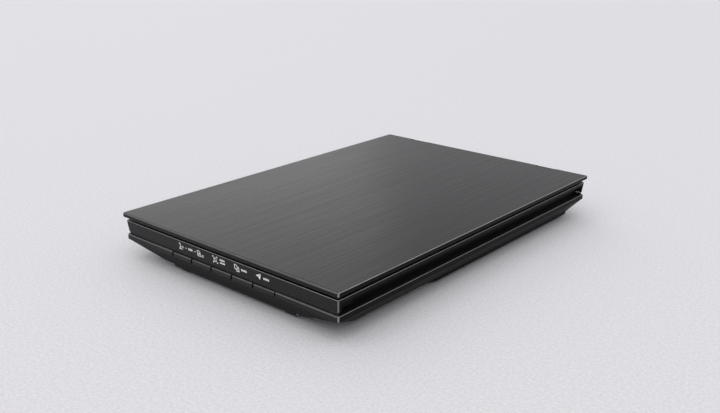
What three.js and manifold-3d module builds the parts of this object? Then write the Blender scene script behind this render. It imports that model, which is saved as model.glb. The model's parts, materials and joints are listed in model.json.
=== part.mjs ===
// A slim flatbed scanner: two-shell housing, platen glass, contact image sensor on a motor carriage
// that climbs along a fixed rack, a lid on two lifting hinge posts, and five keys in the front lip.
// Millimetres, +Z up. The origin is on the table under the middle of the scanner; the keys face -Y.
import * as THREE from "three";
import { mergeVertices } from "three/addons/utils/BufferGeometryUtils.js";
import { ConvexGeometry } from "three/addons/geometries/ConvexGeometry.js";
import Module from "manifold-3d";

const wasm = await Module();
wasm.setup();

// ---- Driving dimensions ------------------------------------------------------------------------
const width = 250; // overall, X
const depth = 367; // overall, Y
const height = 42; // overall, Z
const gap = 0.3; // between pieces that sit against each other
const wall = 2; // moulded shells

// Lid
const lidRim = 3.6; // height of the lid's edge
const lidSkin = 1.6; // lid's top plate
const lidEdge = 1.8; // lid's rim wall
const lidRound = 0.8; // rounding along the lid's edges
const lidCorner = 3; // plan corner radius
const panelPlate = 1.2; // inner panel
const panelSkirt = 1.8; // how far the inner panel's skirt hangs below its plate
const sheetThickness = 0.5;

// Upper housing
const flangeDrop = 6.9; // lid's top down to the housing's top face
const flangeInset = 1.95; // housing's top edge inside the lid's edge
const flangePlate = 3.1; // top plate
const skirtTaper = 0.95; // how much further in the skirt's foot is
const gripDepth = 5.6; // finger recess along each side
const gripEndInset = 5.5; // from the lid's front and rear edges to the recess
const gripStep = [1.6, 17]; // shallower stretch at the recess's front end: how proud, how long
const bezelLip = 1.2; // plate left above the glass
const bezelSide = 15; // lid's side edge to the window
const bezelFront = 22.5;
const glassThickness = 2.8;
const glassOverlap = 3; // glass under the bezel, at the sides
const glassOverlapFront = 7.5;
const padPlay = 1.5; // document pad inside the window
const stripWidth = 6.4; // white calibration strip
const stripThickness = 0.5;
const stripMargin = 2.8; // strip to the window

// Lower housing
const lipTop = 22.7; // top of the front lip, where the groove between the shells starts
const lipBottom = 18;
const lipInset = 1.9;
const grooveHeight = 2.2;
const seamInset = 0.9; // the hidden upstand's face behind the upper skirt's face
const seamWall = 1.6;
const skirtFloor = 7; // flat underside around the belly
const bellyFloor = 3.5; // lowest moulded face
const ledgePlate = 2;

// Keys
const keyCount = 5;
const keyPitch = 24;
const keySlot = 1; // between two keys
const keyTravel = 0.8;
const keyDepth = 3.4;
const keySeat = 2; // wall behind the keys
const switchThickness = 2;
const switchNub = 0.6;
const boardThickness = 1.2;

// Electronics
const buttonBoardHalf = 64;
const switchSize = 4.5;
const boardInset = 42; // main board's middle from the lid's side edge
const usbInset = 60; // socket from the lid's rear edge
const usbDepth = 12.5; // bottom of the socket's recess from the lid's side edge
const usbRecess = [7, 2.9]; // half width and half height of the recess
const usbShell = [9, 3.2, 8]; // width, height and length
const cableWidth = 12;
const cableThickness = 0.3;
const cableRun = 138; // scan line at rest to the cable's turn

// Feet and screws
const footHeight = 3.2;
const footSize = [15, 12];
const footFront = [63, 21.5]; // insets of the front feet from the lid's side and front edges
const footRear = [27, 23.5];
const screwFront = [29, 1.6]; // inset from the side edge, and play between the boss and the end wall
const screwRear = [21, 3.1];
const screwShank = 1.4;
const screwHead = 3;
const screwHeadHeight = 1.8;
const screwSeat = 12.5; // the ceiling of the screw heads' counterbores
const screwLength = 15.5;
const bossRadius = 3.9;

// Hinges
const hingeInset = 45; // hinge centre from the lid's side edge
const hingeWidth = 12;
const hingeEar = 3.6;
const pinInset = [2.2, 2.4]; // pin axis from the lid's rear edge and top
const pinRadius = 1.1;
const barrelRadius = 2.2;
const postThickness = 3;
const postInset = 10; // rear edge to the post's back face
const postWeb = 2.2;
const guideWall = 2;
const guideWallSide = 3;

// Carriage, measured from the sensor's scan line
const boardPlay = 1; // tray to the button board's stops at the end of the travel
const motorPlay = 1.36; // motor to the rear wall at rest
const sensorWidth = 16;
const sensorHeight = 10;
const sensorInset = 17; // lid's side edge to the sensor's end
const trayWall = 1.5;
const trayFloor = [14, 16];
const trayHeight = 8;
const driveReach = 22; // how far the drive plate goes behind the scan line
const spacerThickness = 3;
const motorRadius = 10;
const motorHeight = 12;
const lockTab = 6; // width of the carriage's tab
const lockPlay = 1.5; // tab to the open lock's tongue

// Gears and rack
const gearModule = 1;
const pressureAngle = (20 * Math.PI) / 180;
const backlash = 0.16; // taken off each tooth's half thickness, along the pitch line
const gearFace = [9.4, 13.2]; // Z
const driveTeeth = 16;
const idlerTeeth = 22;
const pinionTeeth = 10;
const rackLine = 30; // X of the rack's pitch line
const rackBack = 5.5;
const driveOffset = 4; // drive gear behind the scan line
const idlerAngle = (155 * Math.PI) / 180;
const pinionAngle = (147 * Math.PI) / 180;
const axleRadius = 1.25;

// Guide rail
const railX = -40;
const railZ = 10.5;
const railRadius = 2.5;
const clipThickness = 2.3;
const clipMouth = 2; // half the gap at the top, which the rail snaps through

// ---- Derived places ----------------------------------------------------------------------------
const halfX = width / 2;
const halfY = depth / 2;
const housingTop = height - flangeDrop;
const plateBottom = housingTop - flangePlate;
const skirtFoot = lipTop + grooveHeight;
const wallX = halfX - flangeInset - skirtTaper;
const wallY = halfY - flangeInset - skirtTaper;
const gripX = wallX - gripDepth;
const gripY = halfY - gripEndInset;
const glassTop = housingTop - bezelLip - gap / 1.5;
const glassBottom = glassTop - glassThickness;
const windowX = halfX - bezelSide;
const windowFront = -halfY + bezelFront;
const bellyInside = bellyFloor + wall;
const sensorX = halfX - sensorInset;
const sensorTop = glassBottom - 3 * gap - 0.8;
const sensorBottom = sensorTop - sensorHeight;
const keyFace = -halfY + lipInset;
const keyBack = keyFace + keyDepth;
const seatFace = keyBack + keyTravel + gap - 0.1;
const switchFace = seatFace + keySeat + switchNub + gap / 3 - 0.1;
const boardFace = switchFace + switchNub + switchThickness + gap - 0.6;
const boardStop = boardFace + boardThickness + gap;
const boardStopWall = 1;
const trayHalf = sensorWidth / 2 + gap + trayWall;
const farEnd = boardStop + boardStopWall + boardPlay + trayHalf; // scan line at the end of the travel
const trainReach =
  (gearModule / 2) *
  ((driveTeeth + idlerTeeth) * Math.sin(idlerAngle) + (idlerTeeth + pinionTeeth) * Math.sin(pinionAngle));
const rearWall = wallY - seamInset - seamWall;
const home = rearWall - motorPlay - motorRadius - trainReach - driveOffset; // scan line at rest
const travel = home - farEnd;
const windowRear = home - stripWidth / 2 - stripMargin;
const keyBayX = (keyCount * keyPitch) / 2 + 0.6;
const keyLow = lipBottom + gap;
const keyHigh = lipTop - 0.2;
const hingeX = halfX - hingeInset;
const pinY = halfY - pinInset[0];
const pinZ = height - pinInset[1];
const postBack = halfY - postInset;
const guideBack = postBack + gap + guideWall;
const skirtTop = [lipInset + 0.6, lipBottom]; // inset and height of the skirt's upper edge
const undersideRear = 7.5; // inset of the underside's rear edge
const skirtSlope = (skirtTop[1] - skirtFloor - wall) / (undersideRear - skirtTop[0]);
const postFoot = skirtFloor + wall + skirtSlope * (guideBack - halfY + undersideRear + wall) + 2 * gap;
const railFront = farEnd - sensorWidth / 2 - gap - clipThickness;
const railRear = home + driveReach - 2 + gap + clipThickness;

const tabX = [rackLine + rackBack + 2.5, rackLine + rackBack + 2.5 + lockTab];
const lock = { x: tabX[1] + lockPlay + 2.5, y: home + 9.2 };
const mainBoard = { x: boardInset - halfX, y: home - 19, z: bellyInside + 2, size: [54, 62, 1.6] };
const usb = {
  y: halfY - usbInset,
  z: mainBoard.z + mainBoard.size[2] + 2,
  deep: halfX - usbDepth,
};
const stripX = windowX - 2.3;
const glassRear = home + sensorWidth / 2;
const bracketLow = pinZ - 1.4;
const bracketHigh = height - lidSkin - gap;

// The centre of the gear that meshes with the one at `from`, seen in the direction `angle`.
function nextGear(from, teeth, otherTeeth, angle) {
  const centres = (gearModule * (teeth + otherTeeth)) / 2;
  return [from[0] + centres * Math.cos(angle), from[1] + centres * Math.sin(angle)];
}

const driveAt = [rackLine - (gearModule * driveTeeth) / 2, home + driveOffset];
const idlerAt = nextGear(driveAt, driveTeeth, idlerTeeth, idlerAngle);
const pinionAt = nextGear(idlerAt, idlerTeeth, pinionTeeth, pinionAngle);

// ---- Materials ---------------------------------------------------------------------------------
const finishes = {
  lid: [0x4a4b4d, 0.42, 0.0],
  shell: [0x27282a, 0.6, 0.0],
  panel: [0x2b2c2e, 0.65, 0.0],
  foam: [0xd9d9d6, 0.95, 0.0],
  sheet: [0xf2f2ef, 0.7, 0.0],
  glass: [0xbfd2cf, 0.05, 0.0],
  strip: [0xf7f7f4, 0.8, 0.0],
  key: [0x2d2e30, 0.5, 0.0],
  rubber: [0x151515, 0.9, 0.0],
  steel: [0xa9adb2, 0.3, 1.0],
  black: [0x1a1a1b, 0.55, 0.0],
  board: [0x1f5b3a, 0.55, 0.0],
  nylon: [0xe6e2d4, 0.5, 0.0],
  lens: [0x3b3f46, 0.15, 0.0],
  lightGuide: [0xe9f0f2, 0.1, 0.0],
  cable: [0xe8e8e6, 0.5, 0.0],
};

// ---- Solids from three.js shapes ---------------------------------------------------------------
function solidFrom(geometry) {
  const plain = geometry.clone();
  for (const name of Object.keys(plain.attributes)) {
    if (name !== "position") plain.deleteAttribute(name);
  }
  const merged = mergeVertices(plain, 1e-4);
  return new wasm.Manifold(
    new wasm.Mesh({
      numProp: 3,
      vertProperties: merged.attributes.position.array,
      triVerts: new Uint32Array(merged.index.array),
    }),
  );
}

// A box between two corners.
function block([x0, y0, z0], [x1, y1, z1]) {
  const geometry = new THREE.BoxGeometry(x1 - x0, y1 - y0, z1 - z0);
  geometry.translate((x0 + x1) / 2, (y0 + y1) / 2, (z0 + z1) / 2);
  return solidFrom(geometry);
}

function outline(points) {
  return new THREE.Shape(points.map(([u, v]) => new THREE.Vector2(u, v)));
}

const extrusions = {
  x: new THREE.Matrix4().makeBasis(axis(0, 1, 0), axis(0, 0, 1), axis(1, 0, 0)),
  y: new THREE.Matrix4().makeBasis(axis(1, 0, 0), axis(0, 0, 1), axis(0, -1, 0)),
  z: new THREE.Matrix4(),
};

function axis(x, y, z) {
  return new THREE.Vector3(x, y, z);
}

// A shape drawn in (y, z), (x, z) or (x, y), extruded from low to high along x, y or z.
function prism(along, shape, low, high, curveSegments = 6) {
  const geometry = new THREE.ExtrudeGeometry(shape, {
    depth: high - low,
    bevelEnabled: false,
    curveSegments,
  });
  geometry.translate(0, 0, along === "y" ? -high : low);
  geometry.applyMatrix4(extrusions[along]);
  return solidFrom(geometry);
}

function roundedRect(x0, y0, x1, y1, radius) {
  const shape = new THREE.Shape();
  shape.absarc(x1 - radius, y0 + radius, radius, -Math.PI / 2, 0);
  shape.absarc(x1 - radius, y1 - radius, radius, 0, Math.PI / 2);
  shape.absarc(x0 + radius, y1 - radius, radius, Math.PI / 2, Math.PI);
  shape.absarc(x0 + radius, y0 + radius, radius, Math.PI, 1.5 * Math.PI);
  return shape;
}

// The hull of outlines at several heights, given as [shape, z].
function loft(rings) {
  const points = rings.flatMap(([shape, z]) =>
    shape.getPoints(3).map((p) => new THREE.Vector3(p.x, p.y, z)),
  );
  return solidFrom(new ConvexGeometry(points));
}

// A round bar along x, y or z; `at` gives its other two coordinates.
function bar(along, radius, at, low, high, segments = 20) {
  const geometry = new THREE.CylinderGeometry(radius, radius, high - low, segments);
  const middle = (low + high) / 2;
  if (along === "x") geometry.rotateZ(Math.PI / 2).translate(middle, at[0], at[1]);
  if (along === "y") geometry.translate(at[0], middle, at[1]);
  if (along === "z") geometry.rotateX(Math.PI / 2).translate(at[0], at[1], middle);
  return solidFrom(geometry);
}

function join(...solids) {
  return solids.reduce((sum, each) => sum.add(each));
}

function cut(from, ...solids) {
  return solids.reduce((rest, each) => rest.subtract(each), from);
}

const scanner = new THREE.Group();

function piece(name, solid, finish, group = scanner) {
  const mesh = solid.getMesh();
  const geometry = new THREE.BufferGeometry();
  const positions = new Float32Array(mesh.numVert * 3);
  for (let i = 0; i < mesh.numVert; i++) {
    const start = i * mesh.numProp;
    positions.set(mesh.vertProperties.subarray(start, start + 3), i * 3);
  }
  geometry.setAttribute("position", new THREE.BufferAttribute(positions, 3));
  geometry.setIndex(new THREE.BufferAttribute(mesh.triVerts, 1));
  geometry.computeVertexNormals();
  const [color, roughness, metalness] = finishes[finish];
  const material = new THREE.MeshStandardMaterial({ color, roughness, metalness });
  const object = new THREE.Mesh(geometry, material);
  object.name = name;
  group.add(object);
}

const sides = [
  ["left", -1],
  ["right", 1],
];
const ends = [
  ["front", -1],
  ["rear", 1],
];

// ---- Housing -----------------------------------------------------------------------------------
// The closed middle of the housing, between the finger recesses, moved inwards by `inset`.
function housingPlan(inset) {
  const x = gripX - inset;
  const y = wallY - inset;
  return roundedRect(-x, -y, x, y, 1);
}

// A rounded rectangle `inset` inside the lid's outline.
function insetRect(inset, radius = lidCorner) {
  return roundedRect(inset - halfX, inset - halfY, halfX - inset, halfY - inset, radius);
}

// The underside's flat, an octagon with its front corners cut well back.
function undersidePlan(inset) {
  const x = halfX - 11 - inset;
  const front = -halfY + 9.5 + inset;
  const rear = halfY - undersideRear - inset;
  const right = [
    [x - 31 + inset / 3, front],
    [x, front + 17 - inset / 3],
    [x, rear - 8 + inset / 3],
    [x - 8 + inset / 3, rear],
  ];
  return outline([...right, ...right.map(([px, py]) => [-px, py]).reverse()]);
}

// The belly below it, which narrows towards the front.
function bellyPlan(inset) {
  const x = halfX - 12 - inset;
  const front = -halfY + 11.5 + inset;
  const right = [
    [x - 40, front],
    [x, -halfY + 133.5],
    [x, halfY - 12.5 - inset],
  ];
  return outline([...right, ...right.map(([px, py]) => [-px, py]).reverse()]);
}

const screwPlaces = ends.flatMap(([end, signY]) =>
  sides.map(([side, signX]) => {
    const [insetX, play] = end === "front" ? screwFront : screwRear;
    const insetY = skirtTop[0] + wall + bossRadius + play;
    return [end + "_" + side, signX * (halfX - insetX), signY * (halfY - insetY)];
  }),
);

function lowerHousing() {
  const body = join(
    loft([
      [insetRect(lipInset + 0.4), lipBottom],
      [insetRect(lipInset), lipBottom + 0.5],
      [insetRect(lipInset), lipTop - 0.6],
      [insetRect(lipInset + 0.6), lipTop],
    ]),
    loft([
      [insetRect(lipInset + 0.6), lipBottom + 0.1],
      [undersidePlan(0), skirtFloor],
    ]),
    loft([
      [bellyPlan(-0.9), skirtFloor + 0.5],
      [bellyPlan(0), bellyFloor],
    ]),
  );
  const hollow = join(
    prism("z", insetRect(lipInset + wall), lipBottom - 0.1, lipTop - ledgePlate),
    prism("z", housingPlan(seamInset + seamWall), lipTop - ledgePlate - 1, lipTop + 1),
    loft([
      [insetRect(lipInset + 0.6 + wall), lipBottom],
      [undersidePlan(wall), skirtFloor + wall],
    ]),
    loft([
      [bellyPlan(wall - 0.9), skirtFloor + wall + 0.1],
      [bellyPlan(wall), bellyInside],
    ]),
  );
  const upstand = cut(
    prism("z", housingPlan(seamInset), lipTop - 0.2, skirtFoot - gap),
    prism("z", housingPlan(seamInset + seamWall), lipTop - 1, skirtFoot + 1),
  );
  const keyBlock = block(
    [-keyBayX - 2.4, keyFace, lipBottom - 4],
    [keyBayX + 2.4, seatFace + keySeat, skirtFoot - gap],
  );
  const upstandFront = prism("z", housingPlan(seamInset), lipTop - 1, skirtFoot);
  const inside = join(
    ...screwPlaces.map(([, x, y]) => bar("z", bossRadius + 0.3, [x, y], skirtFloor, screwSeat + 3.2)),
    ...sides.map(([, sign]) =>
      block(
        [sign * 55 - 1.5, boardStop, bellyFloor],
        [sign * 55 + 1.5, boardStop + boardStopWall, lipTop - 2.7],
      ),
    ),
    ...[-1, 1].flatMap((u) =>
      [-1, 1].map((v) =>
        bar("z", 2.2, [mainBoard.x + u * 23, mainBoard.y + v * 26], bellyFloor, mainBoard.z - gap, 12),
      ),
    ),
    block(
      [-usb.deep - 8, usb.y - usbRecess[0] - wall, skirtFloor],
      [-usb.deep, usb.y + usbRecess[0] + wall, usb.z + usbRecess[1] + 1.4],
    ),
    block([lock.x - 11.5, lock.y - 7, bellyFloor], [lock.x + 12, lock.y + 7, bellyInside + 1.2]),
  );
  const keyCuts = keyPlaces().map((x) =>
    block([x - 3, keyBack - 1, keyLow + 0.7], [x + 3, seatFace + keySeat + 1, keyHigh - 0.7]),
  );
  const screwCuts = screwPlaces.flatMap(([, x, y]) => [
    bar("z", screwShank + gap, [x, y], 0, screwSeat + 6),
    bar("z", screwHead + gap, [x, y], 0, screwSeat),
  ]);
  const shell = join(cut(body, hollow), upstand);
  const filled = join(shell, inside.intersect(body), keyBlock.intersect(join(body, upstandFront)));
  return cut(
    filled,
    block([-keyBayX, -halfY, lipBottom], [keyBayX, seatFace, lipTop + 0.2]),
    ...keyCuts,
    ...screwCuts,
    block(
      [-halfX, usb.y - usbRecess[0], usb.z - usbRecess[1]],
      [-usb.deep - 1.4, usb.y + usbRecess[0], usb.z + usbRecess[1]],
    ),
    block(
      [-usb.deep - 3, usb.y - usbShell[0] / 2 - gap, usb.z - usbShell[1] / 2 - gap - 0.1],
      [-usb.deep + 1, usb.y + usbShell[0] / 2 + gap, usb.z + usbShell[1] / 2 + gap + 0.1],
    ),
    block([lock.x - 10, lock.y - 5, 0], [lock.x + 6, lock.y + 5, bellyFloor + 1.9]),
    block([lock.x - 8.6, lock.y - 2.4, 0], [lock.x + 2.6, lock.y + 2.4, bellyInside + 2]),
  );
}

function upperHousing() {
  const body = loft([
    [insetRect(flangeInset + skirtTaper), skirtFoot],
    [insetRect(flangeInset), housingTop - 0.5],
    [insetRect(flangeInset + 0.5), housingTop],
  ]);
  const grips = sides.map(([, sign]) => {
    const ascending = (...x) => x.map((each) => sign * each).sort((a, b) => a - b);
    const x = ascending(gripX, halfX + 1);
    const step = ascending(gripX, gripX + gripStep[0]);
    return cut(
      block([x[0], -gripY, 0], [x[1], gripY, plateBottom]),
      block([step[0], -gripY - 1, 0], [step[1], gripStep[1] - gripY, plateBottom + 1]),
    );
  });
  const bosses = screwPlaces.map(([, x, y]) =>
    bar("z", bossRadius - 0.3, [x, y], screwSeat + 3.5, plateBottom + 0.5),
  );
  const pilots = screwPlaces.map(([, x, y]) =>
    bar("z", screwShank + gap, [x, y], 0, screwSeat + screwLength + 1),
  );
  const slots = sides.map(([, sign]) =>
    block(
      [sign * hingeX - hingeWidth / 2 - gap, postBack - postThickness - gap, plateBottom - 1],
      [sign * hingeX + hingeWidth / 2 + gap, postBack + gap, height],
    ),
  );
  const hollow = prism("z", housingPlan(wall), 0, plateBottom);
  return cut(
    join(cut(body, hollow, ...grips), ...bosses),
    prism("z", roundedRect(-windowX, windowFront, windowX, windowRear, 1), 0, height, 3),
    block(
      [-windowX - glassOverlap - gap, windowFront - glassOverlapFront - gap, plateBottom - 1],
      [windowX + glassOverlap + gap, glassRear + gap, housingTop - bezelLip],
    ),
    block(
      [-stripX - gap, home - stripWidth / 2 - gap, plateBottom],
      [stripX + gap, home + stripWidth / 2 + gap, housingTop - bezelLip + stripThickness + 0.1],
    ),
    ...pilots,
    ...slots,
  );
}

function makeHousing() {
  piece("lower_housing", lowerHousing(), "shell");
  piece("upper_housing", upperHousing(), "shell");
  const glass = block(
    [-windowX - glassOverlap, windowFront - glassOverlapFront, glassBottom],
    [windowX + glassOverlap, glassRear, glassTop],
  );
  piece("platen_glass", glass, "glass");
  const strip = block(
    [-stripX, home - stripWidth / 2, housingTop - bezelLip + 0.05],
    [stripX, home + stripWidth / 2, housingTop - bezelLip + stripThickness],
  );
  piece("white_calibration_strip", strip, "strip");
  for (const [end, signY] of ends) {
    for (const [side, signX] of sides) {
      const [insetX, insetY] = end === "front" ? footFront : footRear;
      const x = signX * (halfX - insetX);
      const y = signY * (halfY - insetY);
      const pad = (grow) =>
        roundedRect(
          x - footSize[0] / 2 - grow,
          y - footSize[1] / 2 - grow,
          x + footSize[0] / 2 + grow,
          y + footSize[1] / 2 + grow,
          3,
        );
      const foot = loft([
        [pad(-0.6), 0],
        [pad(0), 0.6],
        [pad(0), footHeight],
      ]);
      piece("foot_" + end + "_" + side, foot, "rubber");
    }
  }
  for (const [place, x, y] of screwPlaces) {
    const top = screwSeat - gap;
    const screw = join(
      bar("z", screwHead, [x, y], top - screwHeadHeight, top),
      bar("z", screwShank, [x, y], top - 1, screwSeat + screwLength, 12),
    );
    const recess = join(
      block([x - 1.7, y - 0.35, 0], [x + 1.7, y + 0.35, top - 0.9]),
      block([x - 0.35, y - 1.7, 0], [x + 0.35, y + 1.7, top - 0.9]),
    );
    piece("housing_screw_" + place, cut(screw, recess), "steel");
  }
}

// ---- Keys and electronics ----------------------------------------------------------------------
function keyPlaces() {
  return Array.from({ length: keyCount }, (_, i) => (i - (keyCount - 1) / 2) * keyPitch);
}

const keyNames = ["pdf_start", "pdf_finish", "auto_scan", "copy", "send"];

function makeKeys() {
  const profile = outline([
    [keyBack, keyLow],
    [keyBack, keyHigh],
    [keyFace + 0.6, keyHigh],
    [keyFace + 0.18, keyHigh - 0.18],
    [keyFace, keyHigh - 0.6],
    [keyFace, keyLow + 0.3],
    [keyFace + 0.3, keyLow],
  ]);
  const stemEnd = switchFace - keyTravel - 0.1;
  const board = block(
    [-buttonBoardHalf, boardFace, lipBottom - 4.5],
    [buttonBoardHalf, boardFace + boardThickness, skirtFoot - 2 * gap],
  );
  piece("button_board", board, "board");
  keyPlaces().forEach((x, i) => {
    const half = (keyPitch - keySlot) / 2;
    const key = join(
      prism("x", profile, x - half, x + half),
      block([x - 2.5, keyBack - 0.5, keyLow + 1.1], [x + 2.5, stemEnd, keyHigh - 1.1]),
    );
    piece(keyNames[i] + "_button", key, "key");
    const middle = (keyLow + keyHigh) / 2;
    const body = block(
      [x - switchSize / 2, switchFace + switchNub, middle - switchSize / 2 + 0.3],
      [x + switchSize / 2, boardFace - gap, middle + switchSize / 2 - 0.3],
    );
    const nub = bar("y", 1, [x, middle], switchFace, switchFace + switchNub + 0.5, 12);
    piece(keyNames[i] + "_switch", join(body, nub), "black");
  });
}

function makeElectronics() {
  const { x, y, z, size } = mainBoard;
  const top = z + size[2];
  const board = join(
    block([x - size[0] / 2, y - size[1] / 2, z], [x + size[0] / 2, y + size[1] / 2, top]),
    block([x - 6, y - 2, top - 0.5], [x + 10, y + 14, top + 1.2]),
    block([x - 18, y + 17, top - 0.5], [x - 9, y + 25, top + 2.4]),
    block([x + 10, y - 24, top - 0.5], [x + 25, y - 19, top + 0.1]),
    bar("z", 3, [x - 12, y - 22], top - 0.5, top + 3, 16),
  );
  piece("main_board", board, "board");
  const mouth = -usb.deep - 2.2;
  const [shellWide, shellTall, shellLong] = usbShell;
  const shellAt = (x0, x1, shrink) =>
    block(
      [x0, usb.y - shellWide / 2 + shrink, top + gap + shrink],
      [x1, usb.y + shellWide / 2 - shrink, top + gap + shellTall - shrink],
    );
  const socket = cut(shellAt(mouth, mouth + shellLong, 0), shellAt(mouth - 1, mouth + shellLong - 2, 0.5));
  const tongue = block(
    [mouth + 0.8, usb.y - 2.8, top + gap + 1.2],
    [mouth + shellLong - 1, usb.y + 2.8, top + gap + 2],
  );
  piece("usb_socket", join(socket, tongue), "steel");

  // The sensor's flat cable: along the floor, back over itself, and in under the carriage.
  const low = top + 0.4;
  const high = trayFloor[0] - 0.6;
  const radius = (high - low) / 2;
  const turn = home - cableRun;
  const half = cableThickness / 2;
  const strip = new THREE.Shape();
  strip.moveTo(y - 14, low - half);
  strip.absarc(turn, low + radius, radius + half, 1.5 * Math.PI, 0.5 * Math.PI, true);
  strip.lineTo(home - 6, high + half);
  strip.lineTo(home - 6, high - half);
  strip.absarc(turn, low + radius, radius - half, 0.5 * Math.PI, 1.5 * Math.PI, false);
  strip.lineTo(y - 14, low + half);
  piece("sensor_flat_cable", prism("x", strip, x + 11.5, x + 11.5 + cableWidth, 8), "cable");
}

// ---- Drive -------------------------------------------------------------------------------------
// Half a tooth's angle at a radius of an involute gear.
function toothHalfAngle(teeth, radius) {
  const pitch = (gearModule * teeth) / 2;
  const base = pitch * Math.cos(pressureAngle);
  const involute = (angle) => Math.tan(angle) - angle;
  const here = radius > base ? Math.acos(base / radius) : 0;
  const atPitch = (Math.PI * gearModule) / 4 - backlash;
  return atPitch / pitch + involute(pressureAngle) - involute(here);
}

function gearShape(teeth, phase) {
  const pitch = (gearModule * teeth) / 2;
  const radii = [pitch - 1.25 * gearModule, pitch - 0.45 * gearModule, pitch, pitch + 0.85 * gearModule];
  const points = [];
  for (let tooth = 0; tooth < teeth; tooth++) {
    const middle = phase + (2 * Math.PI * tooth) / teeth;
    const flank = radii.map((r) => [r, toothHalfAngle(teeth, r)]);
    for (const [r, a] of flank) points.push([r * Math.cos(middle - a), r * Math.sin(middle - a)]);
    for (const [r, a] of flank.reverse()) points.push([r * Math.cos(middle + a), r * Math.sin(middle + a)]);
  }
  return outline(points);
}

// The phase of a gear that meshes with one of a known phase, seen in `direction`.
function meshedPhase(phase, teeth, otherTeeth, direction) {
  return direction + Math.PI - ((phase - direction) * teeth) / otherTeeth + Math.PI / otherTeeth;
}

function gear(teeth, phase, [x, y], bore) {
  const body = prism("z", gearShape(teeth, phase), gearFace[0], gearFace[1]);
  return cut(body, bar("z", bore, [0, 0], gearFace[0] - 1, gearFace[1] + 1, 16)).translate(x, y, 0);
}

function rack() {
  const pitch = Math.PI * gearModule;
  const half = pitch / 4 - backlash;
  const slope = Math.tan(pressureAngle);
  const tip = 0.85 * gearModule;
  const root = 1.25 * gearModule;
  const count = Math.floor((travel + 5 * pitch) / pitch);
  const teeth = [];
  for (let i = 0; i < count; i++) {
    const middle = driveAt[1] + (i + 0.5 - count + 2) * pitch;
    teeth.push([rackLine + root, middle - half - root * slope]);
    teeth.push([rackLine - tip, middle - half + tip * slope]);
    teeth.push([rackLine - tip, middle + half - tip * slope]);
    teeth.push([rackLine + root, middle + half + root * slope]);
  }
  const last = teeth[teeth.length - 1][1] + 1;
  const first = teeth[0][1] - 1;
  return outline([
    [rackLine + rackBack, first],
    [rackLine + rackBack, last],
    [rackLine + root, last],
    ...teeth.reverse(),
    [rackLine + root, first],
  ]);
}

function makeDrive() {
  const drivePhase = 0;
  const idlerPhase = meshedPhase(drivePhase, driveTeeth, idlerTeeth, idlerAngle);
  const pinionPhase = meshedPhase(idlerPhase, idlerTeeth, pinionTeeth, pinionAngle);
  const bore = axleRadius + gap;
  piece("drive_rack", prism("z", rack(), bellyInside + gap, gearFace[1]), "nylon");
  piece("drive_gear", gear(driveTeeth, drivePhase, driveAt, bore), "nylon");
  piece("idler_gear", gear(idlerTeeth, idlerPhase, idlerAt, bore), "nylon");
  const shaft = bar("z", 1, pinionAt, gearFace[0], trayFloor[1], 12);
  const pinion = prism("z", gearShape(pinionTeeth, pinionPhase), gearFace[0], gearFace[1]);
  piece("motor_pinion", join(pinion.translate(...pinionAt, 0), shaft), "steel");
  for (const [name, at] of [
    ["drive_axle", driveAt],
    ["idler_axle", idlerAt],
  ]) {
    const axle = join(
      bar("z", axleRadius, at, gearFace[0] - 0.8, trayFloor[1] + 0.8, 12),
      bar("z", axleRadius + 0.7, at, trayFloor[1] + gap, trayFloor[1] + 1.1, 16),
    );
    piece(name, axle, "steel");
  }
  const rail = bar("y", railRadius, [railX, railZ], railFront + gap, railRear - gap);
  piece("guide_rail", rail, "steel");
  for (const [name, low] of [
    ["rail_clip_front", railFront],
    ["rail_clip_rear", railRear - clipThickness],
  ]) {
    const clip = cut(
      block([railX - 5, low, bellyInside + gap], [railX + 5, low + clipThickness, trayFloor[0] - 0.5]),
      bar("y", railRadius + gap, [railX, railZ], railFront - 1, railRear + 1),
      block([railX - clipMouth, railFront - 1, railZ], [railX + clipMouth, railRear + 1, height]),
    );
    piece(name, clip, "black");
  }
}

// ---- Carriage ----------------------------------------------------------------------------------
function carriageFrame() {
  const inner = sensorWidth / 2 + gap;
  const innerX = sensorX + gap + spacerThickness + gap;
  const frame = cut(
    block([-innerX, home - trayHalf, trayFloor[0]], [innerX, home + trayHalf, trayFloor[0] + trayHeight]),
    block([-innerX - 1, home - inner, trayFloor[1]], [innerX + 1, home + inner, height]),
  );
  const plate = join(
    block([railX - 7, home + inner, trayFloor[0]], [tabX[1], home + driveReach, trayFloor[1]]),
    block([pinionAt[0] - 12, home + inner, trayFloor[0]], [pinionAt[0] + 12, pinionAt[1] + 6, trayFloor[1]]),
    block([railX - 6, home - sensorWidth / 2, railZ - 3], [railX + 6, home + driveReach - 2, trayFloor[1]]),
    block([tabX[0], home + 12, gearFace[0] + 1], [tabX[1], home + 16, trayFloor[1]]),
  );
  const axleBore = axleRadius + gap;
  return cut(
    join(frame, plate),
    bar("y", railRadius + gap, [railX, railZ], home - 40, home + 40),
    block([railX - 1.6, home - 40, 0], [railX + 1.6, home + 40, railZ]),
    bar("z", axleBore, driveAt, 0, trayFloor[1] + 1, 16),
    bar("z", axleBore, idlerAt, 0, trayFloor[1] + 1, 16),
    bar("z", 3, pinionAt, 0, trayFloor[1] + 1, 16),
  );
}

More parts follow.
